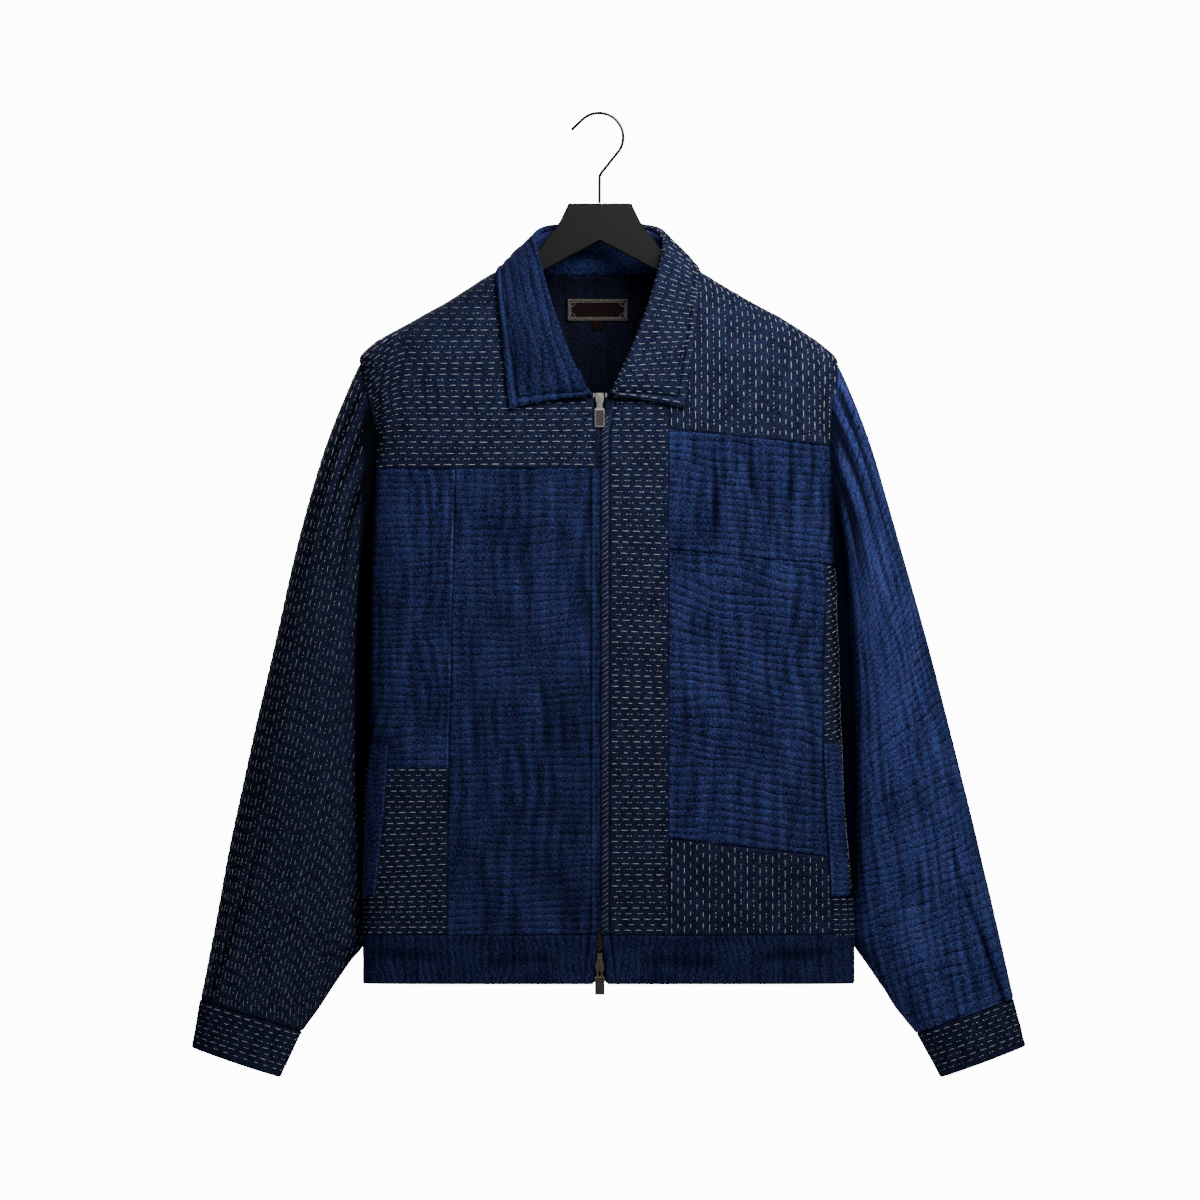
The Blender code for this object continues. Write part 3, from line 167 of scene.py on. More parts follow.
# The inner edge's rings start later than the outer edge's, by this power of the share down
SLEEVE_TOP_LAG = 1.3
SLEEVE_DEPTH = [(0, 29), (0.08, 37), (0.2, 47), (0.4, 54), (0.6, 52), (0.8, 44), (0.92, 37), (1, 33)]
SLEEVE_MIDDLE_Y = [(0, 1), (0.3, 6), (0.7, 8), (1, 4)]
SLEEVE_SQUARENESS = [(0, 2), (0.25, 2.25), (0.8, 2.25), (1, 2.1)]
# Share of the length over which a sleeve leaves the armhole, and its distance from the body's side
SLEEVE_JOIN = 0.14
SLEEVE_CLEARANCE = -1.5
SLEEVE_LENGTH = 600.0
# Distance from the middle, by height, at which each sleeve turns back into the fold beside the body
VALLEY_EDGE = {
    RIGHT: [(-790, 196), (-766, 208), (-711, 223), (-645, 228), (-551, 230), (-456, 228),
            (-362, 223.5), (-273, 222)],
    LEFT: [(-790, 210), (-766, 231), (-711, 241), (-645, 242), (-551, 240), (-456, 234),
           (-362, 226), (-273, 221)],
}
# How soft the fold's edge is, the width of the broader painted shade beside it, how far the fold sinks the
# sleeve as a share of its depth, and the height it starts below
VALLEY_SLOPE = 8.0
VALLEY_SHADOW = 46.0
VALLEY_DEPTH = 0.6
VALLEY_TOP = -262.0
# Rows of stitches down the right sleeve lean out from a share of its length on
ROWS_LEAN_FROM = 0.45
ROWS_LEAN = 0.22
ROWS_EDGE_RADIUS = 24.0
ROW_END = 1.5
# A pleat above the cuff and gathers at the sleeve head, at angles round from the outer edge
PLEAT_ANGLE = math.radians(28)
PLEAT_LEAN = 1.3
PLEAT_WIDTH = 0.17
PLEAT_RISE = 2.4
PLEAT_REACH = (0.66, 0.9)
GATHER_ANGLES = [math.radians(angle) for angle in (28, 52, 78, 285, 315)]
GATHER_RISE = 1.5
# Depth and shade of the trough beside each pleat or gather
FOLD_SINK = 2.2
FOLD_SHADE = 0.9
GATHER_REACH = [(0.02, 0), (0.07, 1), (0.2, 0.6), (0.32, 0)]

# Cuffs: lower corners as (outer x, outer z, inner x, inner z)
CUFF_CORNERS = {RIGHT: (384.0, -877.0, 300.8, -905.2), LEFT: (400.1, -875.6, 320.3, -905.3)}
CUFF_DEPTH = 30.0
CUFF_LENGTH = 46.0

# Collar from centre back (0) over the shoulder (0.5) to the zip (1): fold line and outer edge
COLLAR_FOLD = [(0, (0, 31, -105.5)), (0.125, (18, 30, -105.5)), (0.25, (36, 25, -106.5)),
               (0.375, (51, 14, -110)), (0.45, (58.5, 4, -116)), (0.5, (61.5, -4, -122)),
               (0.55, (60.5, -13, -131.5)), (0.6, (57.5, -22, -146)), (0.65, (52.5, -31, -165)),
               (0.7, (46.5, -38.5, -184)), (0.75, (39.5, -44, -203)), (0.8, (31.5, -48.5, -224)),
               (0.85, (24, -51.5, -239)), (0.9, (17, -53.5, -250.5)), (0.95, (11.8, -54.5, -258.5)),
               (1, (8.5, -55, -264))]
COLLAR_EDGE = {
    RIGHT: [(0, (0, 50, -165)), (0.125, (26, 49, -164.5)), (0.25, (52, 45, -162.5)),
            (0.375, (77, 33, -156.5)), (0.45, (90, 16, -149.5)), (0.5, (95.5, 1, -145.5)),
            (0.55, (97, -12, -151)), (0.6, (97, -24, -163)), (0.7, (94.6, -34, -190)),
            (0.8, (91.7, -42, -219)), (0.9, (88.4, -48, -250)), (1, (85, -51, -278))],
    LEFT: [(0, (0, 50, -165)), (0.125, (26, 49, -164.5)), (0.25, (52, 45, -162.5)),
           (0.375, (76, 33, -156.5)), (0.45, (87, 16, -149)), (0.5, (91.5, 1, -143.5)),
           (0.55, (93, -12, -150)), (0.6, (93.2, -24, -161)), (0.7, (91, -34, -189)),
           (0.8, (88, -42, -218)), (0.9, (84, -48, -250)), (1, (79.5, -51, -278))],
}
COLLAR_CENTRE = (0.0, 0.0, -200.0)
COLLAR_TOPSTITCH_AT = 6.4
# Radius at the fold, and how the fall bows at the zip, fills out and lifts from the body
COLLAR_CURL = 2.6
COLLAR_EDGE_BOW = 2.6
COLLAR_FULLNESS = 2.2
COLLAR_LIFT = 1.4
FOLD_GAP = [(0, 0.3), (0.75, 0.4), (0.9, 0.9), (1, 0.9)]
# The stand's height and rows of points, and how far by station it sits above the neckline
STAND_HEIGHT = 40.0
STAND_ROWS = 17
NECK_MIDDLE_Y = -8.0
STAND_SEAT = [(0, 0.7), (0.4, 0.9), (0.6, 1.5), (0.9, 1.6), (1, 1.7)]

# Labels inside the back of the neck, as (left, right, top, bottom)
NECK_LABEL = (-31.0, 26.3, -171.5, -192.7)
SIZE_TAB = (-7.5, 2.8, -193.2, -201.6)
LABEL_CLOTH = 0.8
LABEL_GAP = 0.7

# Zip
TEETH_TOP_Z = -280.2
TEETH_BOTTOM_Z = -786.5
TEETH_DEPTH = 2.2
TOOTH_PITCH = 1.9
TOOTH_SIZE = (2.3, 1.0)
TOOTH_CROSSING = 0.3
# A tooth's tip: half its height as a share of the tooth's, and how far its faces sink
TOOTH_TIP = 0.32
TOOTH_TIP_SINK = 0.3
# Pull tabs, with a raised rim and a sunk field
PULL_HALF_WIDTH = 4.6
PULL_HALF_THICK = 0.65
PULL_PLATE = 16.6
RIM_WIDE = 0.85
RIM_RISE = 0.4
FIELD_OUT = 0.76

# Mesh fineness
SECTION_STEPS = 60
HEIGHT_STEP = 0.5
ARC_SAMPLES = 240
RING_SAMPLES = 360
BACKING_STEP = 4
BACKING_SHARE = 0.6
EDGE_MARKS = (0.0, 0.5, 1.1, 1.9, 3.0)
LATTICE = 96
FAR = 50.0

# Grid steps across and down of each kind of piece
GAUZE_STEPS = (2.6, 1.8)
YOKE_STEPS = (3.5, 3.0)
PATCH_STEPS = (3.0, 3.0)
BACK_STEPS = (3.2, 2.2)
BACK_WIDTH = 460.0
BAND_FRONT_STEPS = (1.7, 2.4)
BAND_BACK_STEPS = (2.0, 2.6)
WELT_STEPS = (1.5, 1.8)

# Stitches
STITCH_HALF_WIDE = 0.27
EDGE_STITCH_HALF_WIDE = 0.21
# Half width and rise on the sleeve
SLEEVE_STITCH = (0.18, 0.24)
STITCH_RISE = 0.3
# Rings round a stitch as (share of its length, scale), the lift of its middle line and its tips' sink
STITCH_RINGS = ((0.07, 0.8), (0.5, 1.0), (0.93, 0.8))
STITCH_LIFT = 0.12
STITCH_SINK = 0.15
# Stitches of each kind within one period, as (start, length)
STITCH_KINDS = {"long": [(0.0, 0.64)], "short": [(0.1, 0.42)], "pairs": [(0.05, 0.19), (0.36, 0.19)]}
# Clearance at the seams, least length of a stitch, and share of the cloth kept free at each edge
SEAM_MARGIN = 0.6
SHORTEST_STITCH = 1.4
ROW_MARGIN = 0.004

# Cloth colours as (dark, light, painted shade in its troughs), and the way the dye strays from the light
# colour
TONE_POWER = 1.25
GREENER = (0.8, 1.05, 1.02)
REDDER = (1.08, 0.95, 0.99)
CLOTH_RELIEF = 0.8
GAUZE_COLOURS = [(0.003, 0.0058, 0.033), (0.068, 0.093, 0.325), (0.0018, 0.003, 0.019)]
# The stand's colours are lighter than the gauze's, painted light; the inside's darker colours are partly
# painted shade
STAND_COLOURS = [(0.010, 0.017, 0.075), (0.075, 0.105, 0.37), (0.002, 0.003, 0.02)]
INSIDE_COLOURS = [(0.004, 0.0035, 0.010), (0.02, 0.021, 0.06), (0.002, 0.002, 0.006)]
STITCHED_COLOURS = [(0.0012, 0.0028, 0.014), (0.038, 0.05, 0.135), (0.0004, 0.0008, 0.004)]
LABEL_COLOURS = [(0.012, 0.005, 0.006), (0.04, 0.018, 0.02), (0.01, 0.004, 0.004)]

# Noise of each cloth's threads and clouds, as (size across, size down, weight), and its contrast
GAUZE_THREADS = [(2.7, 1.0, 1.0), (1.0, 2.9, 1.0), (1.1, 1.1, 0.8)]
GAUZE_CLOUDS = [(7, 60, 0.8), (60, 60, 0.4)]
GAUZE_CONTRAST = 4.3
STITCHED_THREADS = [(2.0, 1.3, 1.0), (1.3, 2.0, 1.0), (1.6, 1.6, 1.0)]
STITCHED_CLOUDS = [(10, 26, 0.8)]
STITCHED_CONTRAST = 3.2
LABEL_THREADS = [(2.0, 0.5, 1.0), (0.5, 2.0, 1.0)]
LABEL_CLOUDS = [(12, 12, 0.3)]
LABEL_CONTRAST = 3.0

# Camera, room and lights in metres, and the sensor's width in millimetres
CAMERA_DISTANCE = 12.0
CAMERA_Z = -0.4564
VIEW_WIDTH = 1.128
SENSOR_WIDTH = 36.0
CLIP_END = 60.0
FLOOR_Z = -1.3
FLOOR_HALF_SIZE = (4.0, 3.0)
ROOM_RADIUS = 22.0
ROOM_CORNER = 4.0
ROOM_TOP = 22.0
ROOM_GLOW = 13.0
WORLD_STRENGTH = 0.08
# Lights as name: (size, power, place, target)
LIGHTS = {
    "key": ((0.7, 0.5), 10.0, (0.4, -0.7, 0.35), (0, 0, -0.3)),
    "back": ((0.9, 0.7), 9.0, (-0.3, 0.9, 0.3), (0, 0, -0.35)),
}


def smooth(points):
    """A smooth function through (position, value) pairs that never overshoots them."""
    points = sorted(points, key=lambda pair: pair[0])
    at = np.array([pair[0] for pair in points], float)
    value = np.array([pair[1] for pair in points], float)
    if value.ndim == 2:
        parts = [smooth(list(zip(at, value[:, axis]))) for axis in range(value.shape[1])]
        return lambda t: np.stack([part(t) for part in parts], axis=-1)
    step = np.diff(at)
    slope = np.diff(value) / step
    tangent = np.zeros(len(at))
    tangent[0] = slope[0]
    tangent[-1] = slope[-1]
    for i in range(1, len(at) - 1):
        if slope[i - 1] * slope[i] > 0:
            near = 2 * step[i] + step[i - 1]
            far = step[i] + 2 * step[i - 1]
            tangent[i] = (near + far) / (near / slope[i - 1] + far / slope[i])

    def follow(t):
        t = np.clip(t, at[0], at[-1])
        i = np.clip(np.searchsorted(at, t, side="right") - 1, 0, len(step) - 1)
        u = (t - at[i]) / step[i]
        return (value[i] * (1 + 2 * u) * (1 - u) ** 2 + value[i + 1] * u * u * (3 - 2 * u)
                + tangent[i] * step[i] * u * (1 - u) ** 2 - tangent[i + 1] * step[i] * u * u * (1 - u))

    return follow


def smooth_each(tables):
    return {key: smooth(points) for key, points in tables.items()}


def eased(share):
    """The share from 0 to 1 with a level start and end."""
    return share * share * (3 - 2 * share)


def bump(offset, width):
    """A smooth bump, 1 at no offset and 0 well past the width."""
    return np.exp(-(offset / width) ** 2)


def run_along(points):
    """Distance from the first point to each point of a line."""
    return np.concatenate([[0], np.cumsum(np.linalg.norm(np.diff(points, axis=0), axis=1))])


half_width = smooth_each(HALF_WIDTH)
half_depth = smooth_each(HALF_DEPTH)
squareness = smooth(SQUARENESS)
zip_edge = smooth_each(ZIP_EDGE)
sleeve_outer = smooth_each(SLEEVE_OUTER)
sleeve_inner = smooth_each(SLEEVE_INNER)
sleeve_depth = smooth(SLEEVE_DEPTH)
sleeve_middle_y = smooth(SLEEVE_MIDDLE_Y)
sleeve_squareness = smooth(SLEEVE_SQUARENESS)
valley_edge = smooth_each(VALLEY_EDGE)
collar_fold = smooth(COLLAR_FOLD)
collar_edge = smooth_each(COLLAR_EDGE)
HEIGHTS = np.arange(BODY_BOTTOM_Z, NECK_POINT_Z + HEIGHT_STEP / 2, HEIGHT_STEP)
EVEN = np.linspace(0, 1, ARC_SAMPLES)


def section_table(side, face):
    """The body's section at each height, sampled evenly along its arc from the middle."""
    power = squareness(HEIGHTS)[:, None]
    corner = 2 ** (-1 / power)
    share = np.linspace(0, 1, SECTION_STEPS)[None, :]
    level = corner * share
    steep = corner * share[:, ::-1][:, 1:]
    x = np.concatenate([level, (1 - steep ** power) ** (1 / power)], axis=1)
    x = x * half_width[side](HEIGHTS)[:, None]
    y = np.concatenate([(1 - level ** power) ** (1 / power), steep], axis=1)
    y = y * half_depth[face](HEIGHTS)[:, None]
    steps = np.hypot(np.diff(x, axis=1, prepend=0.0), np.diff(y, axis=1, prepend=y[:, :1]))
    arc = np.cumsum(steps, axis=1)
    total = arc[:, -1]
    xs, ys = [np.array([np.interp(EVEN * end, run, row) for end, run, row in zip(total, arc, grid)])
              for grid in (x, y)]
    return xs, ys, total


SECTIONS = {(side, face): section_table(side, face) for side in (RIGHT, LEFT) for face in (FRONT, BACK)}


def between_cells(grid, r, c, f, g):
    """Values of a grid at rows r and columns c, and fractions f and g of a cell beyond them."""
    low = grid[r, c] * (1 - g) + grid[r, c + 1] * g
    high = grid[r + 1, c] * (1 - g) + grid[r + 1, c + 1] * g
    return low * (1 - f) + high * f


def body_points(side, face, z, arc):
    """Points on the body's surface at heights and arc positions from the middle."""
    xs, ys, total = SECTIONS[side, face]
    row = np.clip((z - HEIGHTS[0]) / HEIGHT_STEP, 0, len(HEIGHTS) - 1.001)
    r = row.astype(int)
    f = row - r
    length = total[r] * (1 - f) + total[r + 1] * f
    column = np.clip(arc / length * (ARC_SAMPLES - 1), 0, ARC_SAMPLES - 1.001)
    c = column.astype(int)
    x, y = [between_cells(grid, r, c, f, column - c) for grid in (xs, ys)]
    return np.stack([side * x, face * y, z * np.ones_like(arc)], axis=-1)


def arc_at(side, face, z, x):
    """Arc position at one height and distance from the middle."""
    xs, _, total = SECTIONS[side, face]
    row = int(np.clip(round((z - HEIGHTS[0]) / HEIGHT_STEP), 0, len(HEIGHTS) - 1))
    return float(np.interp(x, xs[row], EVEN * total[row]))


def edge_of(values):
    """An edge as a function of height, from its arc position at each of the table's heights."""
    return lambda z: np.interp(z, HEIGHTS, values)


def at_x(side, face, distance):
    """An edge at a distance from the middle, which may change with height."""
    xs, _, total = SECTIONS[side, face]
    wanted = distance(HEIGHTS) if callable(distance) else np.full(len(HEIGHTS), distance)
    return edge_of([np.interp(x, row, EVEN * end) for x, row, end in zip(wanted, xs, total)])


def to_side(side, face):
    """The edge at the armhole, the side seam or the shoulder seam."""
    _, ys, total = SECTIONS[side, face]
    along = (HEIGHTS - ARMHOLE_MIDDLE_Z) / ARMHOLE_HALF_HEIGHT
    reach = ARMHOLE_REACH[face] * np.sqrt(np.maximum(0.0, 1 - along * along))
    return edge_of([np.interp(-y, -row, EVEN * end) for y, row, end in zip(reach, ys, total)])


def neck_x(z):
    """Half width of the front neckline at a height."""
    along = np.clip((NECK_POINT_Z - z) / (NECK_POINT_Z - FRONT_NECK_Z), 0, 1)
    reach = (1 - along ** NECK_ROUNDNESS) ** (1 / NECK_ROUNDNESS)
    return NECK_FRONT_GAP + (NECK_HALF_WIDTH - NECK_FRONT_GAP) * reach


def back_neck_z(fraction):
    """Height of the back neckline, from the middle (0) to the neck point (1)."""
    return BACK_NECK_Z + (NECK_POINT_Z - BACK_NECK_Z) * np.abs(fraction) ** BACK_NECK_POWER


def body_level(points):
    """Zero on the body's surface, negative inside it and positive outside it."""
    x, y, z = np.moveaxis(points, -1, 0)
    width = np.where(x >= 0, half_width[LEFT](z), half_width[RIGHT](z))
    depth = np.where(y >= 0, half_depth[BACK](z), half_depth[FRONT](z))
    power = squareness(z)
    return (np.abs(x) / width) ** power + (np.abs(y) / depth) ** power - 1


def body_normals(points):
    """The body's outward directions and the lengths of its slope at points."""
    step = 0.02
    slope = np.zeros_like(points)
    for axis in range(3):
        shift = np.zeros(3)
        shift[axis] = step
        slope[..., axis] = (body_level(points + shift) - body_level(points - shift)) / (2 * step)
    length = np.linalg.norm(slope, axis=-1, keepdims=True)
    return slope / length, length[..., 0]


def spread(length, step):
    """Fractions of a length about a step apart, closer together at both ends."""
    ends = np.array(EDGE_MARKS) / length
    inner = length - 2 * EDGE_MARKS[-1]
    count = max(2, round(inner / step))
    while (2 * (len(ends) - 1) + count) % BACKING_STEP:
        count += 1
    middle = np.linspace(ends[-1], 1 - ends[-1], count + 1)
    return np.concatenate([ends[:-1], middle, 1 - ends[-2::-1]])


def noise(seed, a, b, size_a, size_b):
    """Smooth chance values from -1 to 1 over the cloth, in patches of the sizes given."""
    lattice = np.random.default_rng(seed).uniform(-1, 1, (LATTICE, LATTICE))
    x = np.asarray(a, float) / size_a
    y = np.asarray(b, float) / size_b
    i = np.floor(x).astype(int)
    j = np.floor(y).astype(int)
    f = eased(x - i)
    g = eased(y - j)
    i, k = i % LATTICE, (i + 1) % LATTICE
    j, m = j % LATTICE, (j + 1) % LATTICE
    near = lattice[i, j] * (1 - f) + lattice[k, j] * f
    far = lattice[i, m] * (1 - f) + lattice[k, m] * f
    return near * (1 - g) + far * g


def crinkle_phase(seed, along, over, spacing, wander, reach):
    """A whole number on each long wavy line that runs along the cloth, one every spacing over it."""
    wide = noise(seed, along, over, reach, spacing * 3.5)
    fine = noise(seed + 1, along, over, reach * 0.35, spacing * 1.8)
    return over / spacing + wander * (wide + 0.3 * fine)


def between_lines(phase):
    """0 on each line and 1 half way between two of them."""
    return 2 * np.abs((phase + 0.5) % 1.0 - 0.5)


def troughs(seed, along, phase, reach, width):
    """Soft troughs from 0 to 1 on the lines of a crinkle's phase, which fade in and out over the reach."""
    strength = 0.6 + 0.8 * noise(seed, along, np.round(phase), reach, 1.0)
    return bump(between_lines(phase), width) * np.clip(strength, 0, 1)


class Cloth:
    """A grid of cloth, with its measure across and down in millimetres."""

    def __init__(self, points, across, down, us, vs, closed=False, outward=None):
        self.base = points
        self.points = points
        self.across = across
        self.down = down
        self.us = us
        self.vs = vs
        self.closed = closed
        self.normals = self.find_normals(outward)
        self.height = np.zeros(across.shape)
        # Painted shade in troughs, folds and seams, and painted highlight where it is below zero
        self.painted_shading = np.zeros(across.shape)
        self.row = np.full(across.shape, 0.5)
        self.groove = np.full(across.shape, FAR)
        self.slant = 0.0

    def find_normals(self, outward):
        if self.closed:
            around = np.roll(self.base[:, :-1], -1, axis=1) - np.roll(self.base[:, :-1], 1, axis=1)
            around = np.concatenate([around, around[:, :1]], axis=1)
        else:
            around = np.gradient(self.base, axis=1)
        normals = np.cross(around, np.gradient(self.base, axis=0))
        normals /= np.maximum(np.linalg.norm(normals, axis=2, keepdims=True), 1e-9)
        if outward is None:
            middle = self.base.mean(axis=1, keepdims=True) if self.closed else self.base * (0, 0, 1)
            outward = self.base - middle
        return normals if np.sum(normals * outward) > 0 else -normals

    def raise_by(self, height):
        self.height = height
        self.points = self.base + self.normals * height[..., None]

    def backing(self, thickness):
        """A coarse inner face that stays behind the deepest fold near each of its points."""
        low = self.height
        for axis in (0, 1):
            shifted = [low]
            for step in range(1, BACKING_STEP + 1):
                for way in (-step, step):
                    moved = np.roll(low, way, axis=axis)
                    if not (self.closed and axis == 1):
                        edge = [slice(None), slice(None)]
                        edge[axis] = slice(0, way) if way > 0 else slice(way, None)
                        moved[tuple(edge)] = low[tuple(edge)]
                    shifted.append(moved)
            low = np.min(shifted, axis=0)
        inner = self.base + self.normals * (low - thickness * BACKING_SHARE)[..., None]
        return inner[::BACKING_STEP, ::BACKING_STEP]

    def spot(self, u, v):
        """Points and outward directions at fractions across and down the cloth."""
        column = np.interp(u % 1.0 if self.closed else u, self.us, np.arange(len(self.us)))
        row = np.interp(v, self.vs, np.arange(len(self.vs)))
        c = np.minimum(column.astype(int), len(self.us) - 2)
        r = np.minimum(row.astype(int), len(self.vs) - 2)
        points, normals = [between_cells(grid, r, c, (row - r)[..., None], (column - c)[..., None])
                           for grid in (self.points, self.normals)]
        return points, normals / np.linalg.norm(normals, axis=-1, keepdims=True)

    def from_edges(self):
        """Distance of each point from the nearest sewn edge."""
        ends = np.minimum(np.abs(self.down - self.down[:1]), np.abs(self.down[-1:] - self.down))
        if self.closed:
            return ends
        sides = [np.abs(self.across - self.across[:, :1]), np.abs(self.across[:, -1:] - self.across)]
        return np.minimum(ends, np.minimum(*sides))


def fill_mesh(name, vertices, faces, materials):
    mesh = bpy.data.meshes.new(name)
    mesh.from_pydata((np.asarray(vertices) * MM).tolist(), [], faces)
    mesh.shade_smooth()
    made = bpy.data.objects.new(name, mesh)
    bpy.context.scene.collection.objects.link(made)
    for material in materials:
        mesh.materials.append(material)
    return made


def rim(fine, coarse):
    """Triangles between a fine border and its coarse backing."""
    faces = []
    half = BACKING_STEP // 2
    for i in range(len(coarse) - 1):
        part = fine[i * BACKING_STEP:(i + 1) * BACKING_STEP + 1]
        for j in range(BACKING_STEP):
            corner = coarse[i] if j < half else coarse[i + 1]
            faces.append((corner, part[j], part[j + 1]))
        faces.append((coarse[i], part[half], coarse[i + 1]))
    return faces


def grid_index(grid, closed, start=0):
    """Vertex numbers of a grid of points, and how many columns are its own.

    A closed grid's last column is its first one again.
    """
    rows, columns = grid.shape[:2]
    used = columns - 1 if closed else columns
    index = start + np.arange(rows * used).reshape(rows, used)
    if closed:
        index = np.concatenate([index, index[:, :1]], axis=1)
    return index, used


def quads(index):
    """The faces between neighbouring rows and columns of a grid of vertex numbers."""
    corners = [index[:-1, :-1], index[:-1, 1:], index[1:, 1:], index[1:, :-1]]
    return np.stack(corners, axis=-1).reshape(-1, 4)


def shell(name, cloth, thickness, outer_material, inner_material):
    """A closed thin shell: the creased outer face, a plain backing and the rims between them."""
    index, used = grid_index(cloth.points, cloth.closed)
    outer = cloth.points[:, :used].reshape(-1, 3)
    backing = cloth.backing(thickness)
    back_index, back_used = grid_index(backing, cloth.closed, len(outer))
    inner = backing[:, :back_used].reshape(-1, 3)
    fronts = quads(index).tolist()
    backs = quads(back_index)[:, [0, 3, 2, 1]].tolist()
    borders = [(index[0], back_index[0]), (index[-1], back_index[-1])]
    if not cloth.closed:
        borders += [(index[:, 0], back_index[:, 0]), (index[:, -1], back_index[:, -1])]
    rims = []
    for fine, coarse in borders:
        rims += rim(fine.tolist(), coarse.tolist())
    made = fill_mesh(name, np.concatenate([outer, inner]), fronts + backs + rims,
                     [outer_material, inner_material])
    mesh = made.data
    inside = [0] * len(fronts) + [1] * len(backs) + [0] * len(rims)
    mesh.polygons.foreach_set("material_index", inside)
    body = bmesh.new()
    body.from_mesh(mesh)
    bmesh.ops.recalc_face_normals(body, faces=body.faces)
    body.to_mesh(mesh)
    body.free()
    write_cloth_values(mesh, cloth, used, back_used)
    return made


def write_cloth_values(mesh, cloth, used, back_used):
    """The cloth's measure as its UV map, and its painted shading, rows and groove as values on its
    vertices.
    """
    flat = np.stack([cloth.across, cloth.down + cloth.slant * cloth.across], axis=-1)
    outer_flat = flat[:, :used].reshape(-1, 2)
    inner_flat = flat[::BACKING_STEP, ::BACKING_STEP][:, :back_used].reshape(-1, 2)
    flat = np.concatenate([outer_flat, inner_flat]) * MM
    corners = np.zeros(len(mesh.loops), int)
    mesh.loops.foreach_get("vertex_index", corners)
    layer = mesh.uv_layers.new(name="cloth")
    layer.uv.foreach_set("vector", flat[corners].astype(np.float32).ravel())
    for name, grid, plain in (("painted_shading", cloth.painted_shading, 0.0), ("row", cloth.row, 0.5),
                              ("groove", cloth.groove, FAR)):
        values = np.full(len(mesh.vertices), plain, np.float32)
        values[:len(outer_flat)] = grid[:, :used].ravel()
        mesh.attributes.new(name, "FLOAT", "POINT").data.foreach_set("value", values)


# Materials

def add_node(tree, kind, inputs, **settings):
    """A shader node with its settings, and its inputs as numbers or links."""
    node = tree.nodes.new(kind)
    for key, value in settings.items():
        setattr(node, key, value)
    for socket, value in inputs.items():
        if isinstance(value, bpy.types.NodeSocket):
            tree.links.new(value, node.inputs[socket])
        else:
            node.inputs[socket].default_value = value
    return node


def new_material(name):
    material = bpy.data.materials.new(name)
    material.use_nodes = True
    tree = material.node_tree
    return material, tree, tree.nodes["Principled BSDF"]


def grain_of(tree, scale, detail=2.0):
    """Even noise through the whole object."""
    place = add_node(tree, "ShaderNodeTexCoord", {}).outputs["Object"]
    inputs = {"Vector": place, "Scale": scale, "Detail": detail}
    return add_node(tree, "ShaderNodeTexNoise", inputs).outputs[0]


def stretched_noise(tree, place, size_across, size_down, detail):
    """Noise whose patches have the sizes given in millimetres."""
    scale = (1 / (size_across * MM), 1 / (size_down * MM), 1.0)
    scaled = add_node(tree, "ShaderNodeMapping", {"Vector": place, "Scale": scale})
    made = add_node(tree, "ShaderNodeTexNoise",
                    {"Vector": scaled.outputs["Vector"], "Scale": 1.0, "Detail": detail, "Roughness": 0.55})
    return made.outputs[0]


def maths(tree, operation, *values):
    """The result of one operation on the values."""
    inputs = dict(enumerate(values))
    return add_node(tree, "ShaderNodeMath", inputs, operation=operation).outputs[0]


def sum_of(tree, pairs, start=None):
    """A weighted sum of outputs, from a start."""
    total = start
    for output, weight in pairs:
        scaled = maths(tree, "MULTIPLY", output, weight)
        total = scaled if total is None else maths(tree, "ADD", total, scaled)
    return total


def mixed_colour(tree, share, first, second):
    mix = tree.nodes.new("ShaderNodeMix")
    mix.data_type = "RGBA"
    tree.links.new(share, mix.inputs[0])
    for socket, value in ((6, first), (7, second)):
        if isinstance(value, bpy.types.NodeSocket):
            tree.links.new(value, mix.inputs[socket])
        else:
            mix.inputs[socket].default_value = (*value, 1.0)
    return mix.outputs[2]


def scaled_colour(colour, scale):
    return tuple(part * scale for part in colour)


def ranged(tree, value, low, high, to=(0.0, 1.0), **settings):
    """The value stretched so that low and high become the two values given, 0 and 1 unless told."""
    inputs = {"Value": value, "From Min": low, "From Max": high, "To Min": to[0], "To Max": to[1]}
    return add_node(tree, "ShaderNodeMapRange", inputs, **settings).outputs["Result"]


def attribute(tree, name):
    return add_node(tree, "ShaderNodeAttribute", {}, attribute_name=name).outputs["Fac"]


def near_zero(tree, value, width):
    """1 where the value is zero, falling smoothly to 0 at the width on either side."""
    distance = maths(tree, "ABSOLUTE", value)
    return ranged(tree, distance, 0.0, width, (1.0, 0.0), interpolation_type="SMOOTHSTEP")


def set_look(tree, shader, colour, roughness):
    tree.links.new(colour, shader.inputs["Base Color"])
    shader.inputs["Roughness"].default_value = roughness


def set_relief(tree, shader, height, strength, depth):
    """Relief from a height, at a strength and a depth in millimetres."""
    inputs = {"Height": height, "Strength": strength, "Distance": depth * MM}
    relief = add_node(tree, "ShaderNodeBump", inputs)
    tree.links.new(relief.outputs["Normal"], shader.inputs["Normal"])


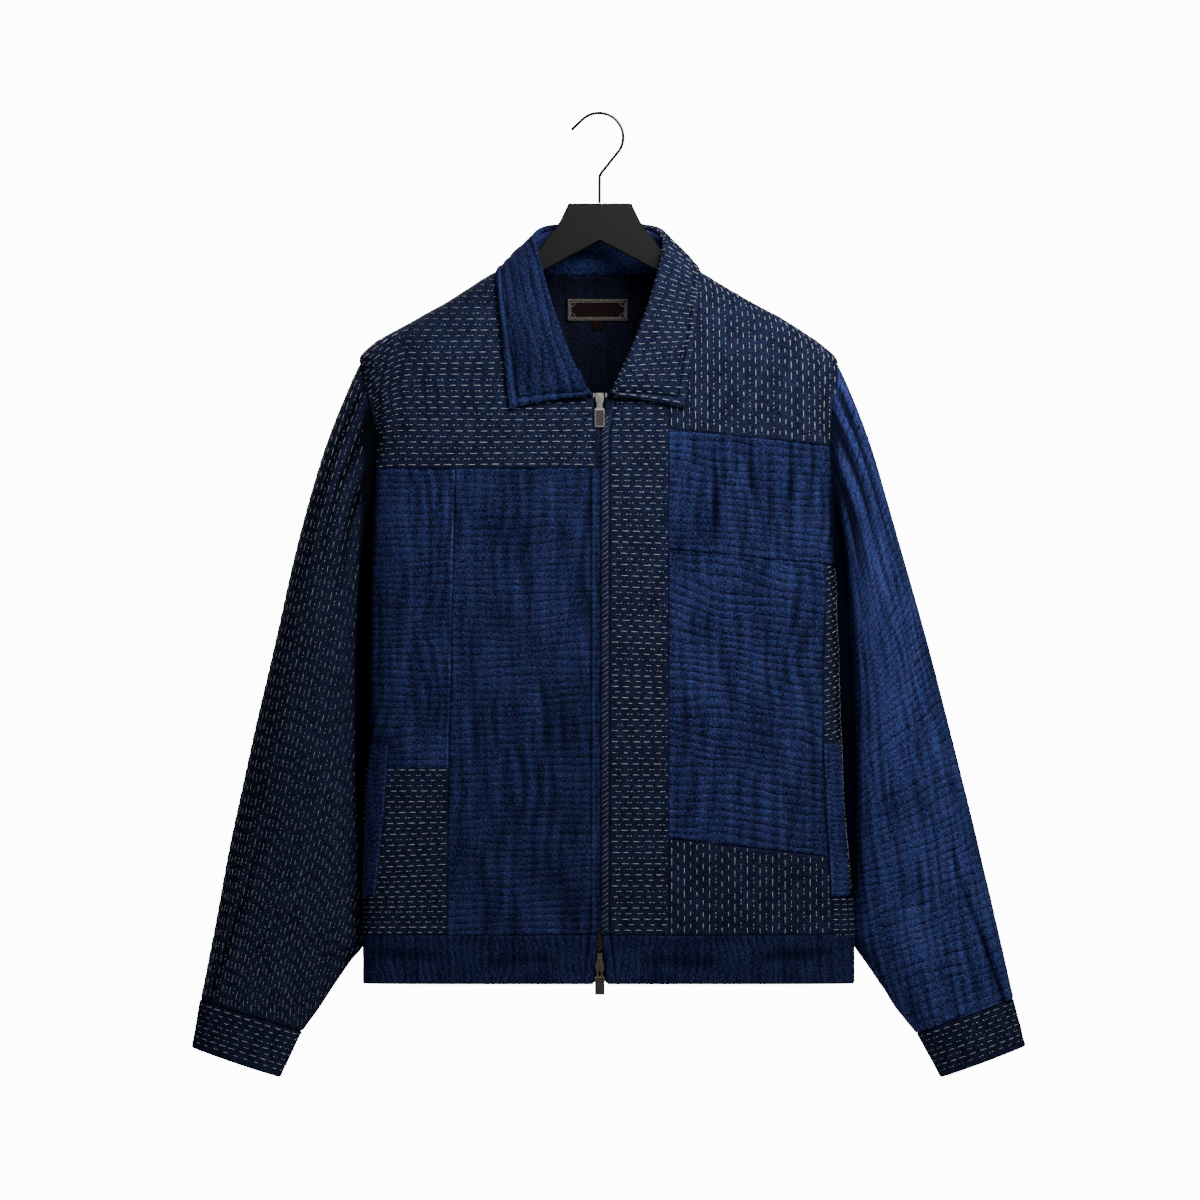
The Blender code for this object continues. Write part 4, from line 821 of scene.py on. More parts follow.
def cloth_material(name, colours, threads, clouds, contrast, lines=0.0):
    """Woven cloth: uneven threads both ways, bands of fading, painted shade on its crinkled lines, folds
    and topstitching, and painted highlights on its ridges.

    colours are the dark, the light and the colour of the painted shade.
    threads and clouds are (size across, size down, weight) of each noise, in millimetres.
    contrast narrows the range of the noise that runs from dark to light.
    lines is how dark the painted shade on the crinkled lines is.
    """
    dark, light, painted_shade_colour = colours
    material, tree, shader = new_material(name)
    place = add_node(tree, "ShaderNodeUVMap", {}, uv_map="cloth").outputs["UV"]
    parts = [(stretched_noise(tree, place, a, b, detail=0.0), weight) for a, b, weight in threads]
    parts += [(stretched_noise(tree, place, a, b, detail=1.0), weight) for a, b, weight in clouds]
    middle = sum(weight for _, weight in parts) / 2
    reach = math.sqrt(sum(weight ** 2 for _, weight in parts)) / contrast
    tone = ranged(tree, sum_of(tree, parts), middle - reach, middle + reach)
    share = maths(tree, "POWER", tone, TONE_POWER)
    dye = ranged(tree, stretched_noise(tree, place, 7, 22, detail=3.0), 0.36, 0.64)
    greener = tuple(part * scale for part, scale in zip(light, GREENER))
    redder = tuple(part * scale for part, scale in zip(light, REDDER))
    colour = mixed_colour(tree, share, dark, mixed_colour(tree, dye, greener, redder))
    height = sum_of(tree, parts)
    groove = attribute(tree, "groove")
    # Painted shade in the topstitching's groove, and a raised strip beside it that gets a painted highlight
    stitched = near_zero(tree, groove, 0.9)
    band = near_zero(tree, sum_of(tree, [(groove, 1.0)], 2.8), 2.6)
    shade = sum_of(tree, [(attribute(tree, "painted_shading"), 1.0), (stitched, 0.75)])
    height = sum_of(tree, [(height, 1.0), (stitched, -1.6), (band, 1.2)])
    # Painted shade on the crinkled lines, in patches
    if lines:
        jitter = stretched_noise(tree, place, 7, 7, detail=1.0)
        phase = sum_of(tree, [(attribute(tree, "row"), 1.0), (jitter, 0.3)], -0.15)
        distance = maths(tree, "PINGPONG", phase, 0.5)
        patches = ranged(tree, stretched_noise(tree, place, 20, 12, detail=1.0), 0.3, 0.6)
        line = maths(tree, "MULTIPLY", near_zero(tree, distance, 0.15), patches)
        shade = sum_of(tree, [(shade, 1.0), (line, lines)])
        height = sum_of(tree, [(height, 1.0), (near_zero(tree, distance, 0.4), -1.1 * lines)])
    # The painted shade darkens the colour towards the painted shade colour
    deep = add_node(tree, "ShaderNodeClamp", {"Value": shade, "Min": 0.0, "Max": 0.95}).outputs[0]
    colour = mixed_colour(tree, deep, colour, painted_shade_colour)
    # Painted highlight on the raised strip and where the painted shading is below zero
    raised = sum_of(tree, [(band, 0.2), (ranged(tree, shade, -0.1, -0.9), 1.0)])
    colour = mixed_colour(tree, raised, colour, scaled_colour(light, 1.4))
    set_look(tree, shader, colour, 0.9)
    shader.inputs["Specular IOR Level"].default_value = 0.12
    set_relief(tree, shader, height, 0.8, CLOTH_RELIEF)
    return material


def gauze_material(name, tone, lines=0.75, colours=GAUZE_COLOURS):
    """Crinkled gauze, lighter with tone."""
    dark, light, painted_shade_colour = colours
    colours = (scaled_colour(dark, tone), scaled_colour(light, tone), painted_shade_colour)
    return cloth_material(name, colours, GAUZE_THREADS, GAUZE_CLOUDS, GAUZE_CONTRAST, lines)


def thread_material(name, dark, light):
    material, tree, shader = new_material(name)
    grain = ranged(tree, grain_of(tree, 260.0), 0.3, 0.7)
    set_look(tree, shader, mixed_colour(tree, grain, dark, light), 0.8)
    return material


# Copies of the gauze at other tones, each set to how bright its piece looks: the lighter copies carry
# painted light and the darker copies painted shade
GAUZE = gauze_material("gauze", 1.0)
GAUZE_SLEEVE = gauze_material("gauze_sleeve", 1.78)
GAUZE_LIGHT = gauze_material("gauze_light", 1.12, 0.85)
GAUZE_DIM = gauze_material("gauze_dim", 0.88)
GAUZE_DARK = gauze_material("gauze_dark", 0.68, 0.9)
GAUZE_COLLAR = gauze_material("gauze_collar", 0.74)
GAUZE_STAND = gauze_material("gauze_stand", 1.45, 0.0, STAND_COLOURS)
GAUZE_INSIDE = gauze_material("gauze_inside", 1.0, 0.0, INSIDE_COLOURS)
STITCHED = cloth_material("stitched_cloth", STITCHED_COLOURS, STITCHED_THREADS, STITCHED_CLOUDS,
                          STITCHED_CONTRAST)
THREAD = thread_material("thread", (0.52, 0.56, 0.64), (0.95, 0.97, 1.0))
# A brighter copy of the thread: painted light on the upright rows of the left yoke and the hem patch
BRIGHT_THREAD = thread_material("bright_thread", (0.85, 0.88, 0.94), (1.0, 1.0, 1.0))
# A dimmer copy of the thread: painted shade on the sleeve's stitches at the fold, and the dimmer slanted
# stitches at the zip
DIM_THREAD = thread_material("dim_thread", (0.24, 0.27, 0.33), (0.6, 0.64, 0.72))


# Creases and folds

def fold_line(cloth, start, end, width):
    """A soft straight trough between two places on the cloth, from 0 to 1."""
    start = np.array(start, float)
    end = np.array(end, float)
    run = end - start
    length = np.linalg.norm(run)
    offset = np.stack([cloth.across, cloth.down], axis=-1) - start
    along = offset @ run / length ** 2
    beside = (offset[..., 0] * run[1] - offset[..., 1] * run[0]) / length
    return bump(beside, width) * eased(np.clip(np.minimum(along, 1 - along) * 4, 0, 1))


def folded(cloth, height, painted_shading, folds):
    """The height and painted shading with folds, each (start, end, width, depth, shade) on the cloth, where
    shade is painted into the fold.
    """
    for start, end, width, depth, shade in folds:
        fold = fold_line(cloth, start, end, width)
        height = height - depth * fold
        painted_shading = painted_shading + shade * fold
    return height, painted_shading


def finish_form(cloth, height, painted_shading, roll=0.6, groove_at=None, ridge=0.0, turn_from=None):
    """Sink the sewn edges with painted shade along them, then set the cloth's crinkled form.

    The groove is a line of topstitching at a distance from the edge nearest the jacket's middle, and the
    ridge a light line beside that edge, partly thread and partly a painted highlight on the seam's ridge.
    Cloth that turns to the jacket's side below turn_from lies in the shade of the sleeve.
    """
    edge = cloth.from_edges()
    height = height - roll * bump(edge, 0.8) + 0.3 * bump(edge - 2.4, 0.9)
    # Painted shade along the sewn edges
    painted_shading = painted_shading + 0.6 * bump(edge, 0.45)
    from_inner = np.abs(cloth.across - cloth.across[:, :1])
    if groove_at is not None:
        cloth.groove = from_inner - groove_at
    # Painted highlight along the ridge beside the inner edge, as painted shading below zero
    painted_shading = np.clip(painted_shading, 0, 1) - 1.5 * ridge * bump(from_inner - EDGE_RIDGE_AT, 0.4)
    # Painted shade on cloth turned to the side, where the sleeve shades it
    if turn_from is not None:
        turned = np.clip((np.abs(cloth.normals[..., 0]) - 0.7) / 0.25, 0, 1)
        below = np.clip((turn_from - cloth.base[..., 2]) / 20.0, 0, 1)
        painted_shading = painted_shading + 0.85 * turned * below
    cloth.painted_shading = np.clip(painted_shading, -1, 1)
    cloth.raise_by(height)


def gauze_form(cloth, seed, lines, ribs, tilt=0.0, folds=(), waves=0.9, lengthwise=False, **finish):
    """Crinkled gauze with fine lines across it and soft ribs down it, or the other way when lengthwise.

    lines are (spacing, depth, wander, reach) and ribs are (spacing, depth, shade, wander, reach).
    """
    level = cloth.down + tilt * cloth.across
    along, over = (cloth.down, cloth.across) if lengthwise else (cloth.across, level)
    spacing, depth, wander, reach = lines
    cloth.row = crinkle_phase(seed, along, over, spacing, wander, reach)
    height = depth * np.sin(between_lines(cloth.row) * math.pi / 2)
    spacing, depth, shade, wander, reach = ribs
    phase = crinkle_phase(seed + 10, over, along, spacing, wander, reach)
    rib = troughs(seed + 12, over, phase, reach, 0.5)
    height = height - depth * rib
    # Painted shade in the ribs' troughs
    painted_shading = shade * rib
    height = height + waves * noise(seed + 20, cloth.across, cloth.down, 34, 48)
    height = height + 0.35 * waves * noise(seed + 21, cloth.across, cloth.down, 13, 17)
    cloth.slant = tilt
    finish_form(cloth, *folded(cloth, height, painted_shading, folds), **finish)


def stitched_form(cloth, seed, waves=0.6, folds=(), **finish):
    """Quilted cloth: low soft waves, and the folds given."""
    height = waves * noise(seed, cloth.across, cloth.down, 30, 30)
    height = height + 0.3 * noise(seed + 1, cloth.across, cloth.down, 9, 9)
    finish_form(cloth, *folded(cloth, height, 0.0 * height, folds), **finish)


# Stitches

def stitch_mesh(name, cloth, stitches, half_wide=STITCH_HALF_WIDE, rise=STITCH_RISE, material=THREAD):
    """One joined mesh of small closed stitches, each given by its start, middle and end on the cloth."""
    places = np.array(stitches, float)
    points, normals = cloth.spot(places[..., 0], places[..., 1])
    ahead = points[:, 2] - points[:, 0]
    ahead /= np.linalg.norm(ahead, axis=1, keepdims=True)
    up = normals[:, 1]
    side = np.cross(up, ahead)
    side /= np.linalg.norm(side, axis=1, keepdims=True)
    rings = []
    for share, scale in STITCH_RINGS:
        if share < 0.5:
            centre = points[:, 0] + (points[:, 1] - points[:, 0]) * share * 2
        else:
            centre = points[:, 1] + (points[:, 2] - points[:, 1]) * (share - 0.5) * 2
        centre = centre + up * STITCH_LIFT
        rings.append(centre + side * half_wide * scale)
        rings.append(centre + up * rise * scale)
        rings.append(centre - side * half_wide * scale)
        rings.append(centre - up * rise)
    tips = [points[:, end] - up * STITCH_SINK for end in (0, 2)]
    vertices = np.stack(rings + tips, axis=1)
    corners = [(i, (i + 1) % 4) for i in range(4)]
    pattern = [(ring + i, ring + j, ring + 4 + j, ring + 4 + i) for ring in (0, 4) for i, j in corners]
    tip_faces = [(12, j, i) for i, j in corners] + [(13, 8 + i, 8 + j) for i, j in corners]
    starts = np.arange(len(vertices)) * vertices.shape[1]
    walls = (np.array(pattern)[None] + starts[:, None, None]).reshape(-1, 4).tolist()
    ends = (np.array(tip_faces)[None] + starts[:, None, None]).reshape(-1, 3).tolist()
    return fill_mesh(name, vertices.reshape(-1, 3), walls + ends, [material])


def stitch_line(cloth, us, vs, kind, phase, period, rng):
    """Stitches along a line on the cloth: long ones, or pairs of short ones."""
    run = run_along(cloth.spot(us, vs)[0])
    found = []
    place = (phase % 1.0 - 1.0) * period
    while place < run[-1]:
        for offset, length in STITCH_KINDS[kind]:
            start = place + (offset + rng.uniform(-0.04, 0.04)) * period
            end = start + length * period * rng.uniform(0.88, 1.12)
            start = max(start, SEAM_MARGIN)
            end = min(end, run[-1] - SEAM_MARGIN)
            if end - start < SHORTEST_STITCH:
                continue
            at = np.array([start, (start + end) / 2, end])
            found.append(np.stack([np.interp(at, run, us), np.interp(at, run, vs)], axis=1))
        place += period * rng.uniform(0.97, 1.03)
    return found


def row_kind(index, rng):
    """Rows alternate long stitches with pairs of short ones, with a few odd rows between."""
    if index % 2 == 0:
        return "long" if rng.random() < 0.85 else "short"
    return "pairs" if rng.random() < 0.8 else "short"


def stitch_rows(cloth, lines, period, seed, beat=0.0):
    """Stitches for each line of cloth places, where the places are on the cloth.

    The beat is how far, in periods, each row starts after the one before it.
    """
    rng = np.random.default_rng(seed)
    found = []
    for index, (us, vs) in enumerate(lines):
        kind = row_kind(index, rng)
        phase = (index * beat) % 1.0 + rng.uniform(-0.15, 0.15) + (0.35 if index % 2 else 0.0)
        inside = (vs > ROW_MARGIN) & (vs < 1 - ROW_MARGIN)
        if not cloth.closed:
            inside = inside & (us > ROW_MARGIN) & (us < 1 - ROW_MARGIN)
        breaks = np.flatnonzero(np.diff(inside.astype(int))) + 1
        for part_us, part_vs, part_in in zip(np.split(us, breaks), np.split(vs, breaks),
                                             np.split(inside, breaks)):
            if part_in[0] and len(part_us) > 3:
                found += stitch_line(cloth, part_us, part_vs, kind, phase, period, rng)
    return found


# Body panels

class Panel(Cloth):
    """Cloth on the body between two edges and two seams."""

    def __init__(self, side, face, inner, outer, bottom, top, steps):
        self.inner = inner
        self.outer = outer
        self.bottom = bottom
        self.top = top
        widest_top = min(top(0.5), UNDERARM_Z) if bottom(0.5) < UNDERARM_Z else top(0.5)
        middle = (bottom(0.5) + widest_top) / 2
        us = spread(float(outer(middle) - inner(middle)), steps[0])
        vs = spread(float(top(0.5) - bottom(0.5)), steps[1])
        u, v = np.meshgrid(us, vs)
        low = bottom(u) - SEAM_LAP / 2
        high = top(u) + SEAM_LAP / 2
        z = low + (high - low) * v
        start = inner(z) - SEAM_LAP / 2
        across = start + (outer(z) + SEAM_LAP / 2 - start) * u
        super().__init__(body_points(side, face, z, across), across, z, us, vs)

    def place(self, across, z):
        """Fractions across and down the panel of a place on the body."""
        start = self.inner(z)
        u = (across - start) / np.maximum(self.outer(z) - start, 1e-6)
        low = self.bottom(np.clip(u, 0, 1))
        high = self.top(np.clip(u, 0, 1))
        return u, (z - low) / (high - low)


def level(z):
    """A seam at one height."""
    return lambda u: z + 0.0 * u


def front_edge(side):
    """The front's edge at the zip, and along the neckline above it."""
    def reach(z):
        at_zip = zip_edge[side](z)
        return np.where(z > FRONT_NECK_Z, np.maximum(at_zip, neck_x(z)), at_zip)

    return at_x(side, FRONT, reach)


def slanted(levels):
    """A seam that falls from the first height to the second across the panel."""
    return lambda u: levels[0] + (levels[1] - levels[0]) * u


def cross_rows(panel, low, high, pitch, bend, reach):
    """Lines across a panel, one every pitch; bend gives each line's change of height."""
    across = np.linspace(reach[0], reach[1], 90)
    return [panel.place(across, z + bend(across, z)) for z in np.arange(high, low, -pitch)]


def down_rows(panel, start, end, pitch, low, high):
    """Lines down a panel, one every pitch across it."""
    z = np.linspace(low, high, 90)
    return [panel.place(np.full(len(z), across), z) for across in np.arange(start, end, pitch)]


def dress(node, made, extras=()):
    """Put a cloth piece in its solid's place: hang it and its extras on the jacket, and hide the solid."""
    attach(made, "jacket")
    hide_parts(node)
    for extra in extras:
        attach(extra, "jacket")


def make_gauze_panel(node, cloth, rests_on, seed, material=GAUZE, **form):
    """A crinkled piece in the solid's place."""
    gauze_form(cloth, seed, **form)
    made = shell(node + "_cloth", cloth, CLOTH, material, GAUZE_INSIDE)
    dress(node, made)


def make_stitched_panel(node, cloth, rests_on, seed, lines, period, thread=THREAD, thin=(), **form):
    """A quilted piece with stitches along its lines, and thin ones close together."""
    stitched_form(cloth, seed, **form)
    stitches = stitch_rows(cloth, lines, period, seed + 1)
    made = shell(node + "_cloth", cloth, CLOTH, STITCHED, GAUZE_INSIDE)
    threads = [stitch_mesh(node + "_stitches", cloth, stitches, material=thread)]
    if thin:
        threads.append(stitch_mesh(node + "_edge_stitches", cloth, thin, EDGE_STITCH_HALF_WIDE,
                                   material=DIM_THREAD))
    dress(node, made, threads)


def armhole_drop(across, z):
    """Rows of stitches bend down towards the armhole."""
    past = np.maximum(0.0, across - DROP_FROM)
    curve = DROP_DEPTH * (past / DROP_BEND) ** 2
    drop = np.where(past < DROP_BEND, curve, DROP_DEPTH + DROP_SLOPE * (past - DROP_BEND))
    return -drop * np.clip((z + 305.0) / 60.0, 0.15, 1)


def make_right_front():
    zip_line = at_x(RIGHT, FRONT, zip_edge[RIGHT])
    seam = at_x(RIGHT, FRONT, smooth(RIGHT_PANEL_SEAM))
    side = to_side(RIGHT, FRONT)
    yoke_z, patch_z, waist_z = level(RIGHT_YOKE_Z), level(RIGHT_PATCH_Z), level(WAIST_SEAM_Z)

    yoke = Panel(RIGHT, FRONT, front_edge(RIGHT), side, yoke_z, level(NECK_POINT_Z), YOKE_STEPS)
    lines = cross_rows(yoke, RIGHT_YOKE_Z, -140.0, 5.26,
                       lambda across, z: armhole_drop(across, z) + 0.4 * np.sin(across / 31.0 + z / 17.0),
                       (1.0, 240.0))
    make_stitched_panel("right_yoke", yoke, ["hanger_board"], 11, lines, 11.2,
                        folds=[((214, -250), (212, -330), 4.0, 2.2, 0.5)], turn_from=YOKE_TURN_Z)

    panel = Panel(RIGHT, FRONT, seam, side, patch_z, yoke_z, GAUZE_STEPS)
    folds = [((192, -588), (224, -589), 1.4, 1.0, 0.7), ((199, -588), (199, -600), 1.4, 0.8, 0.6)]
    make_gauze_panel("right_side_panel", panel, ["right_yoke"], 21, ridge=0.6,
                     lines=(6.8, 0.3, 0.55, 70), ribs=(12, 0.9, 0.5, 0.8, 60), folds=folds,
                     turn_from=SIDE_TURN_Z)

    patch = Panel(RIGHT, FRONT, seam, side, waist_z, patch_z, YOKE_STEPS)
    lines = cross_rows(patch, WAIST_SEAM_Z, RIGHT_PATCH_Z - 1.5, 4.9,
                       lambda across, z: -0.045 * (across - 142) * bump(z + 700, 45), (142.0, 260.0))
    make_stitched_panel("right_pocket_patch", patch, ["right_side_panel"], 31, lines, 9.9,
                        turn_from=SIDE_TURN_Z)

    centre = Panel(RIGHT, FRONT, zip_line, seam, waist_z, yoke_z, GAUZE_STEPS)
    folds = [((38, -593), (24, -701), 8.0, 1.6, 0.1), ((97, -635), (89, -720), 8.0, 1.4, 0.1)]
    make_gauze_panel("right_centre_panel", centre, ["right_yoke"], 41, GAUZE_DIM,
                     lines=(7.0, 0.3, 0.55, 80), ribs=(13, 0.9, 0.5, 0.8, 70), tilt=0.03, folds=folds,
                     groove_at=TOPSTITCH_AT)


def make_left_front():
    strip_edge = at_x(LEFT, FRONT, LEFT_STRIP_X)
    side_edge = at_x(LEFT, FRONT, smooth(LEFT_SIDE_SEAM))
    side = to_side(LEFT, FRONT)
    waist_z, middle_z = level(WAIST_SEAM_Z), slanted(LEFT_MIDDLE_Z)
    heights = np.linspace(FRONT_NECK_Z, NECK_POINT_Z, 800)
    strip_top = float(heights[np.argmax(neck_x(heights) > LEFT_STRIP_X - STRIP_TOP_GAP)])

    strip = Panel(LEFT, FRONT, front_edge(LEFT), strip_edge, waist_z, level(strip_top), PATCH_STEPS)
    lines = cross_rows(strip, WAIST_SEAM_Z, strip_top, 5.2,
                       lambda across, z: -0.045 * across * bump(z + 465, 110), (10.5, 64.0))
    make_stitched_panel("left_centre_strip", strip, ["left_yoke"], 51, lines, 10.3,
                        thin=edge_stitches(strip), groove_at=9.0)

    yoke_inner = at_x(LEFT, FRONT, lambda z: np.maximum(LEFT_STRIP_X, neck_x(z)))
    yoke = Panel(LEFT, FRONT, yoke_inner, side, slanted(LEFT_YOKE_Z), level(NECK_POINT_Z), YOKE_STEPS)
    lines = down_rows(yoke, 67.0, 236.0, 5.65, -312.0, -139.0)
    make_stitched_panel("left_yoke", yoke, ["hanger_board"], 61, lines, 11.3, BRIGHT_THREAD,
                        folds=[((216, -250), (213, -312), 4.0, 2.2, 0.5)], turn_from=YOKE_TURN_Z)

    upper = Panel(LEFT, FRONT, strip_edge, side, middle_z, slanted(LEFT_YOKE_Z), GAUZE_STEPS)
    folds = [((x, -296), (x + 1, -296 - length), 2.2, 2.0, 0.75) for x, length in UPPER_FOLDS]
    make_gauze_panel("left_upper_panel", upper, ["left_yoke"], 71, ridge=0.45,
                     lines=(7.0, 0.4, 0.6, 60), ribs=(12, 1.0, 0.5, 0.8, 60), tilt=0.08, folds=folds,
                     turn_from=SIDE_TURN_Z)

    seam_z = np.mean(LEFT_MIDDLE_Z)
    share = float((side_edge(seam_z) - strip_edge(seam_z)) / (side(seam_z) - strip_edge(seam_z)))
    lower = Panel(LEFT, FRONT, strip_edge, side_edge, slanted(LEFT_HEM_PATCH_Z),
                  lambda u: middle_z(u * share), GAUZE_STEPS)
    make_gauze_panel("left_lower_panel", lower, ["left_upper_panel"], 81, GAUZE_LIGHT, ridge=0.45,
                     lines=(7.8, 0.5, 0.7, 60), ribs=(13, 0.9, 0.5, 0.8, 70), tilt=0.14)

    hem = Panel(LEFT, FRONT, strip_edge, side_edge, waist_z, slanted(LEFT_HEM_PATCH_Z), PATCH_STEPS)
    folds = [((100, -764), (150, -758), 4.0, 1.2, 0.25), ((169, -728), (189, -714), 4.0, 1.2, 0.25),
             ((188, -745), (202, -731), 4.0, 1.0, 0.2)]
    lines = down_rows(hem, 67.2, 217.0, 5.9, WAIST_SEAM_Z, LEFT_HEM_PATCH_Z[0])
    make_stitched_panel("left_hem_patch", hem, ["left_lower_panel"], 91, lines, 11.0, BRIGHT_THREAD,
                        folds=folds)

    strip = Panel(LEFT, FRONT, side_edge, side, level(LEFT_CORNER_Z),
                  lambda u: middle_z(share + (1 - share) * u), PATCH_STEPS)
    lines = cross_rows(strip, LEFT_CORNER_Z, LEFT_MIDDLE_Z[1] - 2, 5.2,
                       lambda across, z: 0.25 * (across - 212), (208.0, 262.0))
    make_stitched_panel("left_side_strip", strip, ["left_upper_panel"], 101, lines, 10.0,
                        turn_from=SIDE_TURN_Z)

    corner = Panel(LEFT, FRONT, side_edge, side, waist_z, level(LEFT_CORNER_Z), PATCH_STEPS)
    lines = cross_rows(corner, WAIST_SEAM_Z, LEFT_CORNER_Z - 2, 4.7, lambda across, z: 0.0 * across,
                       (216.0, 280.0))
    make_stitched_panel("left_corner_patch", corner, ["left_side_strip"], 111, lines, 9.0)


def edge_stitches(strip):
    """Slanted stitches close together down the strip's folded edge at the zip."""
    rng = np.random.default_rng(53)
    found = []
    for z in np.arange(-286.0, WAIST_SEAM_Z + 3, -4.7):
        start = zip_edge[LEFT](z) + 1.0
        across = start + np.array([0.0, 0.5, 1.0]) * (8.0 - start)
        rise = np.array([-2.2, 0.0, 2.2]) + rng.uniform(-0.4, 0.4)
        u, v = strip.place(across, z + rise)
        found.append(np.stack([u, v], axis=1))
    return found


back_side = {side: to_side(side, BACK) for side in (RIGHT, LEFT)}


class BackPanel(Cloth):
    """The back from side seam to side seam, where across is measured from the middle."""

    def __init__(self, bottom, top, steps):
        us = spread(BACK_WIDTH, steps[0])
        vs = spread(float(top(0.0) - bottom), steps[1])
        u, v = np.meshgrid(us * 2 - 1, vs)
        z = bottom - SEAM_LAP / 2 + (top(u) - bottom + SEAM_LAP) * v
        right = (back_side[RIGHT](z) + SEAM_LAP / 2) * np.abs(u)
        left = (back_side[LEFT](z) + SEAM_LAP / 2) * np.abs(u)
        points = np.where((u < 0)[..., None], body_points(RIGHT, BACK, z, right),
                          body_points(LEFT, BACK, z, left))
        super().__init__(points, np.where(u < 0, -right, left), z, us, vs)


def make_back():
    back = BackPanel(WAIST_SEAM_Z, back_neck_z, BACK_STEPS)
    folds = [((-60, -240), (-75, -420), 12.0, 2.0, 0.1), ((70, -260), (92, -450), 12.0, 2.0, 0.1),
             ((-150, -560), (-140, -700), 10.0, 1.6, 0.1), ((20, -560), (12, -720), 10.0, 1.6, 0.1),
             ((150, -520), (160, -680), 10.0, 1.6, 0.1)]
    make_gauze_panel("back", back, ["hanger_board"], 121,
                     lines=(7.2, 0.4, 0.6, 70), ribs=(13, 0.9, 0.45, 0.8, 70), folds=folds)


def make_waistband():
    creases = {"lines": (6.4, 0.35, 0.7, 24), "ribs": (20.0, 0.5, 0.25, 0.7, 60), "lengthwise": True}
    for side, name, seed in ((RIGHT, "waistband_right_front", 131), (LEFT, "waistband_left_front", 136)):
        edge = at_x(side, FRONT, smooth(WAIST_EDGE[side]))
        band = Panel(side, FRONT, edge, to_side(side, FRONT), level(HEM_Z), level(WAIST_SEAM_Z),
                     BAND_FRONT_STEPS)
        folds = [((138, -791), (226, -786), 5.5, 0.8, 0.6), ((34, -791), (118, -797), 5.0, 0.6, 0.45)]
        make_gauze_panel(name, band, ["right_centre_panel" if side == RIGHT else "left_hem_patch"],
                         seed, GAUZE_DARK, folds=folds, groove_at=TOPSTITCH_AT, waves=0.4, **creases)
    band = BackPanel(HEM_Z, level(WAIST_SEAM_Z), BAND_BACK_STEPS)
    make_gauze_panel("waistband_back", band, ["back"], 141, GAUZE_DARK, waves=0.4, **creases)


def make_welts():
    for side, name, seed in ((RIGHT, "right_pocket_welt", 151), (LEFT, "left_pocket_welt", 156)):
        inner = at_x(side, FRONT, smooth(WELT_INNER[side]))
        outer = at_x(side, FRONT, smooth(WELT_OUTER[side]))
        welt = Panel(side, FRONT, inner, outer, level(WELT_BOTTOM_Z[side]), level(WELT_TOP_Z[side]),
                     WELT_STEPS)
        welt.base = welt.base + welt.normals * (SEAM_GAP + CLOTH)
        make_gauze_panel(name, welt, ["right_side_panel" if side == RIGHT else "left_side_strip"],
                         seed, GAUZE if side == RIGHT else GAUZE_LIGHT, waves=0.2,
                         lines=(5.2, 0.15, 0.6, 14), ribs=(30, 0.1, 0.1, 0.5, 30), ridge=0.5)


# Sleeves

def sleeve_ring(side, t, angles):
    """One ring of a sleeve, from the armhole (t = 0) to the cuff's seam (t = 1)."""
    outer_end = min(z for z, _ in SLEEVE_OUTER[side])
    inner_end = min(z for z, _ in SLEEVE_INNER[side])
    outer_z = SHOULDER_TIP_Z + (outer_end - SHOULDER_TIP_Z) * t
    inner_z = UNDERARM_Z + (inner_end - UNDERARM_Z) * t ** SLEEVE_TOP_LAG
    top = np.array([sleeve_outer[side](outer_z), outer_z])
    bottom = np.array([sleeve_inner[side](inner_z), inner_z])
    power = sleeve_squareness(t)
    cosine, sine = np.cos(angles), np.sin(angles)
    across = np.copysign(np.abs(cosine) ** (2 / power), cosine)
    forward = -np.copysign(np.abs(sine) ** (2 / power), sine)
    x = (top[0] + bottom[0]) / 2 + (top[0] - bottom[0]) / 2 * across
    z = (top[1] + bottom[1]) / 2 + (top[1] - bottom[1]) / 2 * across
    middle = sleeve_middle_y(t)
    y = middle + sleeve_depth(t) * forward * (1 - VALLEY_DEPTH * in_valley(side, x, z))
    free = beside_body(side, np.stack([side * x, y, z], axis=-1))
    share = eased(min(1.0, t / SLEEVE_JOIN))
    return armhole_points(side, cosine, sine) * (1 - share) + free * share


def in_valley(side, x, z, slope=VALLEY_SLOPE):
    """How far a sleeve's point lies in the dark fold beside the body, from 0 to 1 over the slope."""
    share = np.clip((valley_edge[side](z) - x) / slope + 0.5, 0, 1)
    return eased(share) * np.clip((VALLEY_TOP - z) / 20.0, 0, 1)


def armhole_points(side, cosine, sine):
    """Points on the armhole's edge, tucked in under the body's panels."""
    z = ARMHOLE_MIDDLE_Z + ARMHOLE_HALF_HEIGHT * cosine
    points = np.zeros((len(z), 3))
    for face, used in ((FRONT, sine >= 0), (BACK, sine < 0)):
        points[used] = body_points(side, face, z[used], to_side(side, face)(z[used]))
    return points - body_normals(points)[0] * ARMHOLE_TUCK


def beside_body(side, points):
    """Move a sleeve's points out until they are clear of the body's side."""
    x, y, z = points.T
    depth = np.where(y >= 0, half_depth[BACK](z), half_depth[FRONT](z))
    share = np.minimum(np.abs(y) / depth, 1.0)
    power = squareness(z)
    limit = half_width[side](z) * (1 - share ** power) ** (1 / power) + SLEEVE_CLEARANCE
    free = (z < HEM_Z - 5) | (share >= 1)
    return np.stack([side * np.where(free, np.abs(x), np.maximum(np.abs(x), limit)), y, z], axis=-1)


def evenly_round(ring, angles, shares):
    """A ring resampled evenly along its girth, with the angle at each new point."""
    run = run_along(ring)
    at = shares * run[-1]
    points = np.stack([np.interp(at, run, ring[:, axis]) for axis in range(3)], axis=-1)
    return points, np.interp(at, run, angles), run[-1]


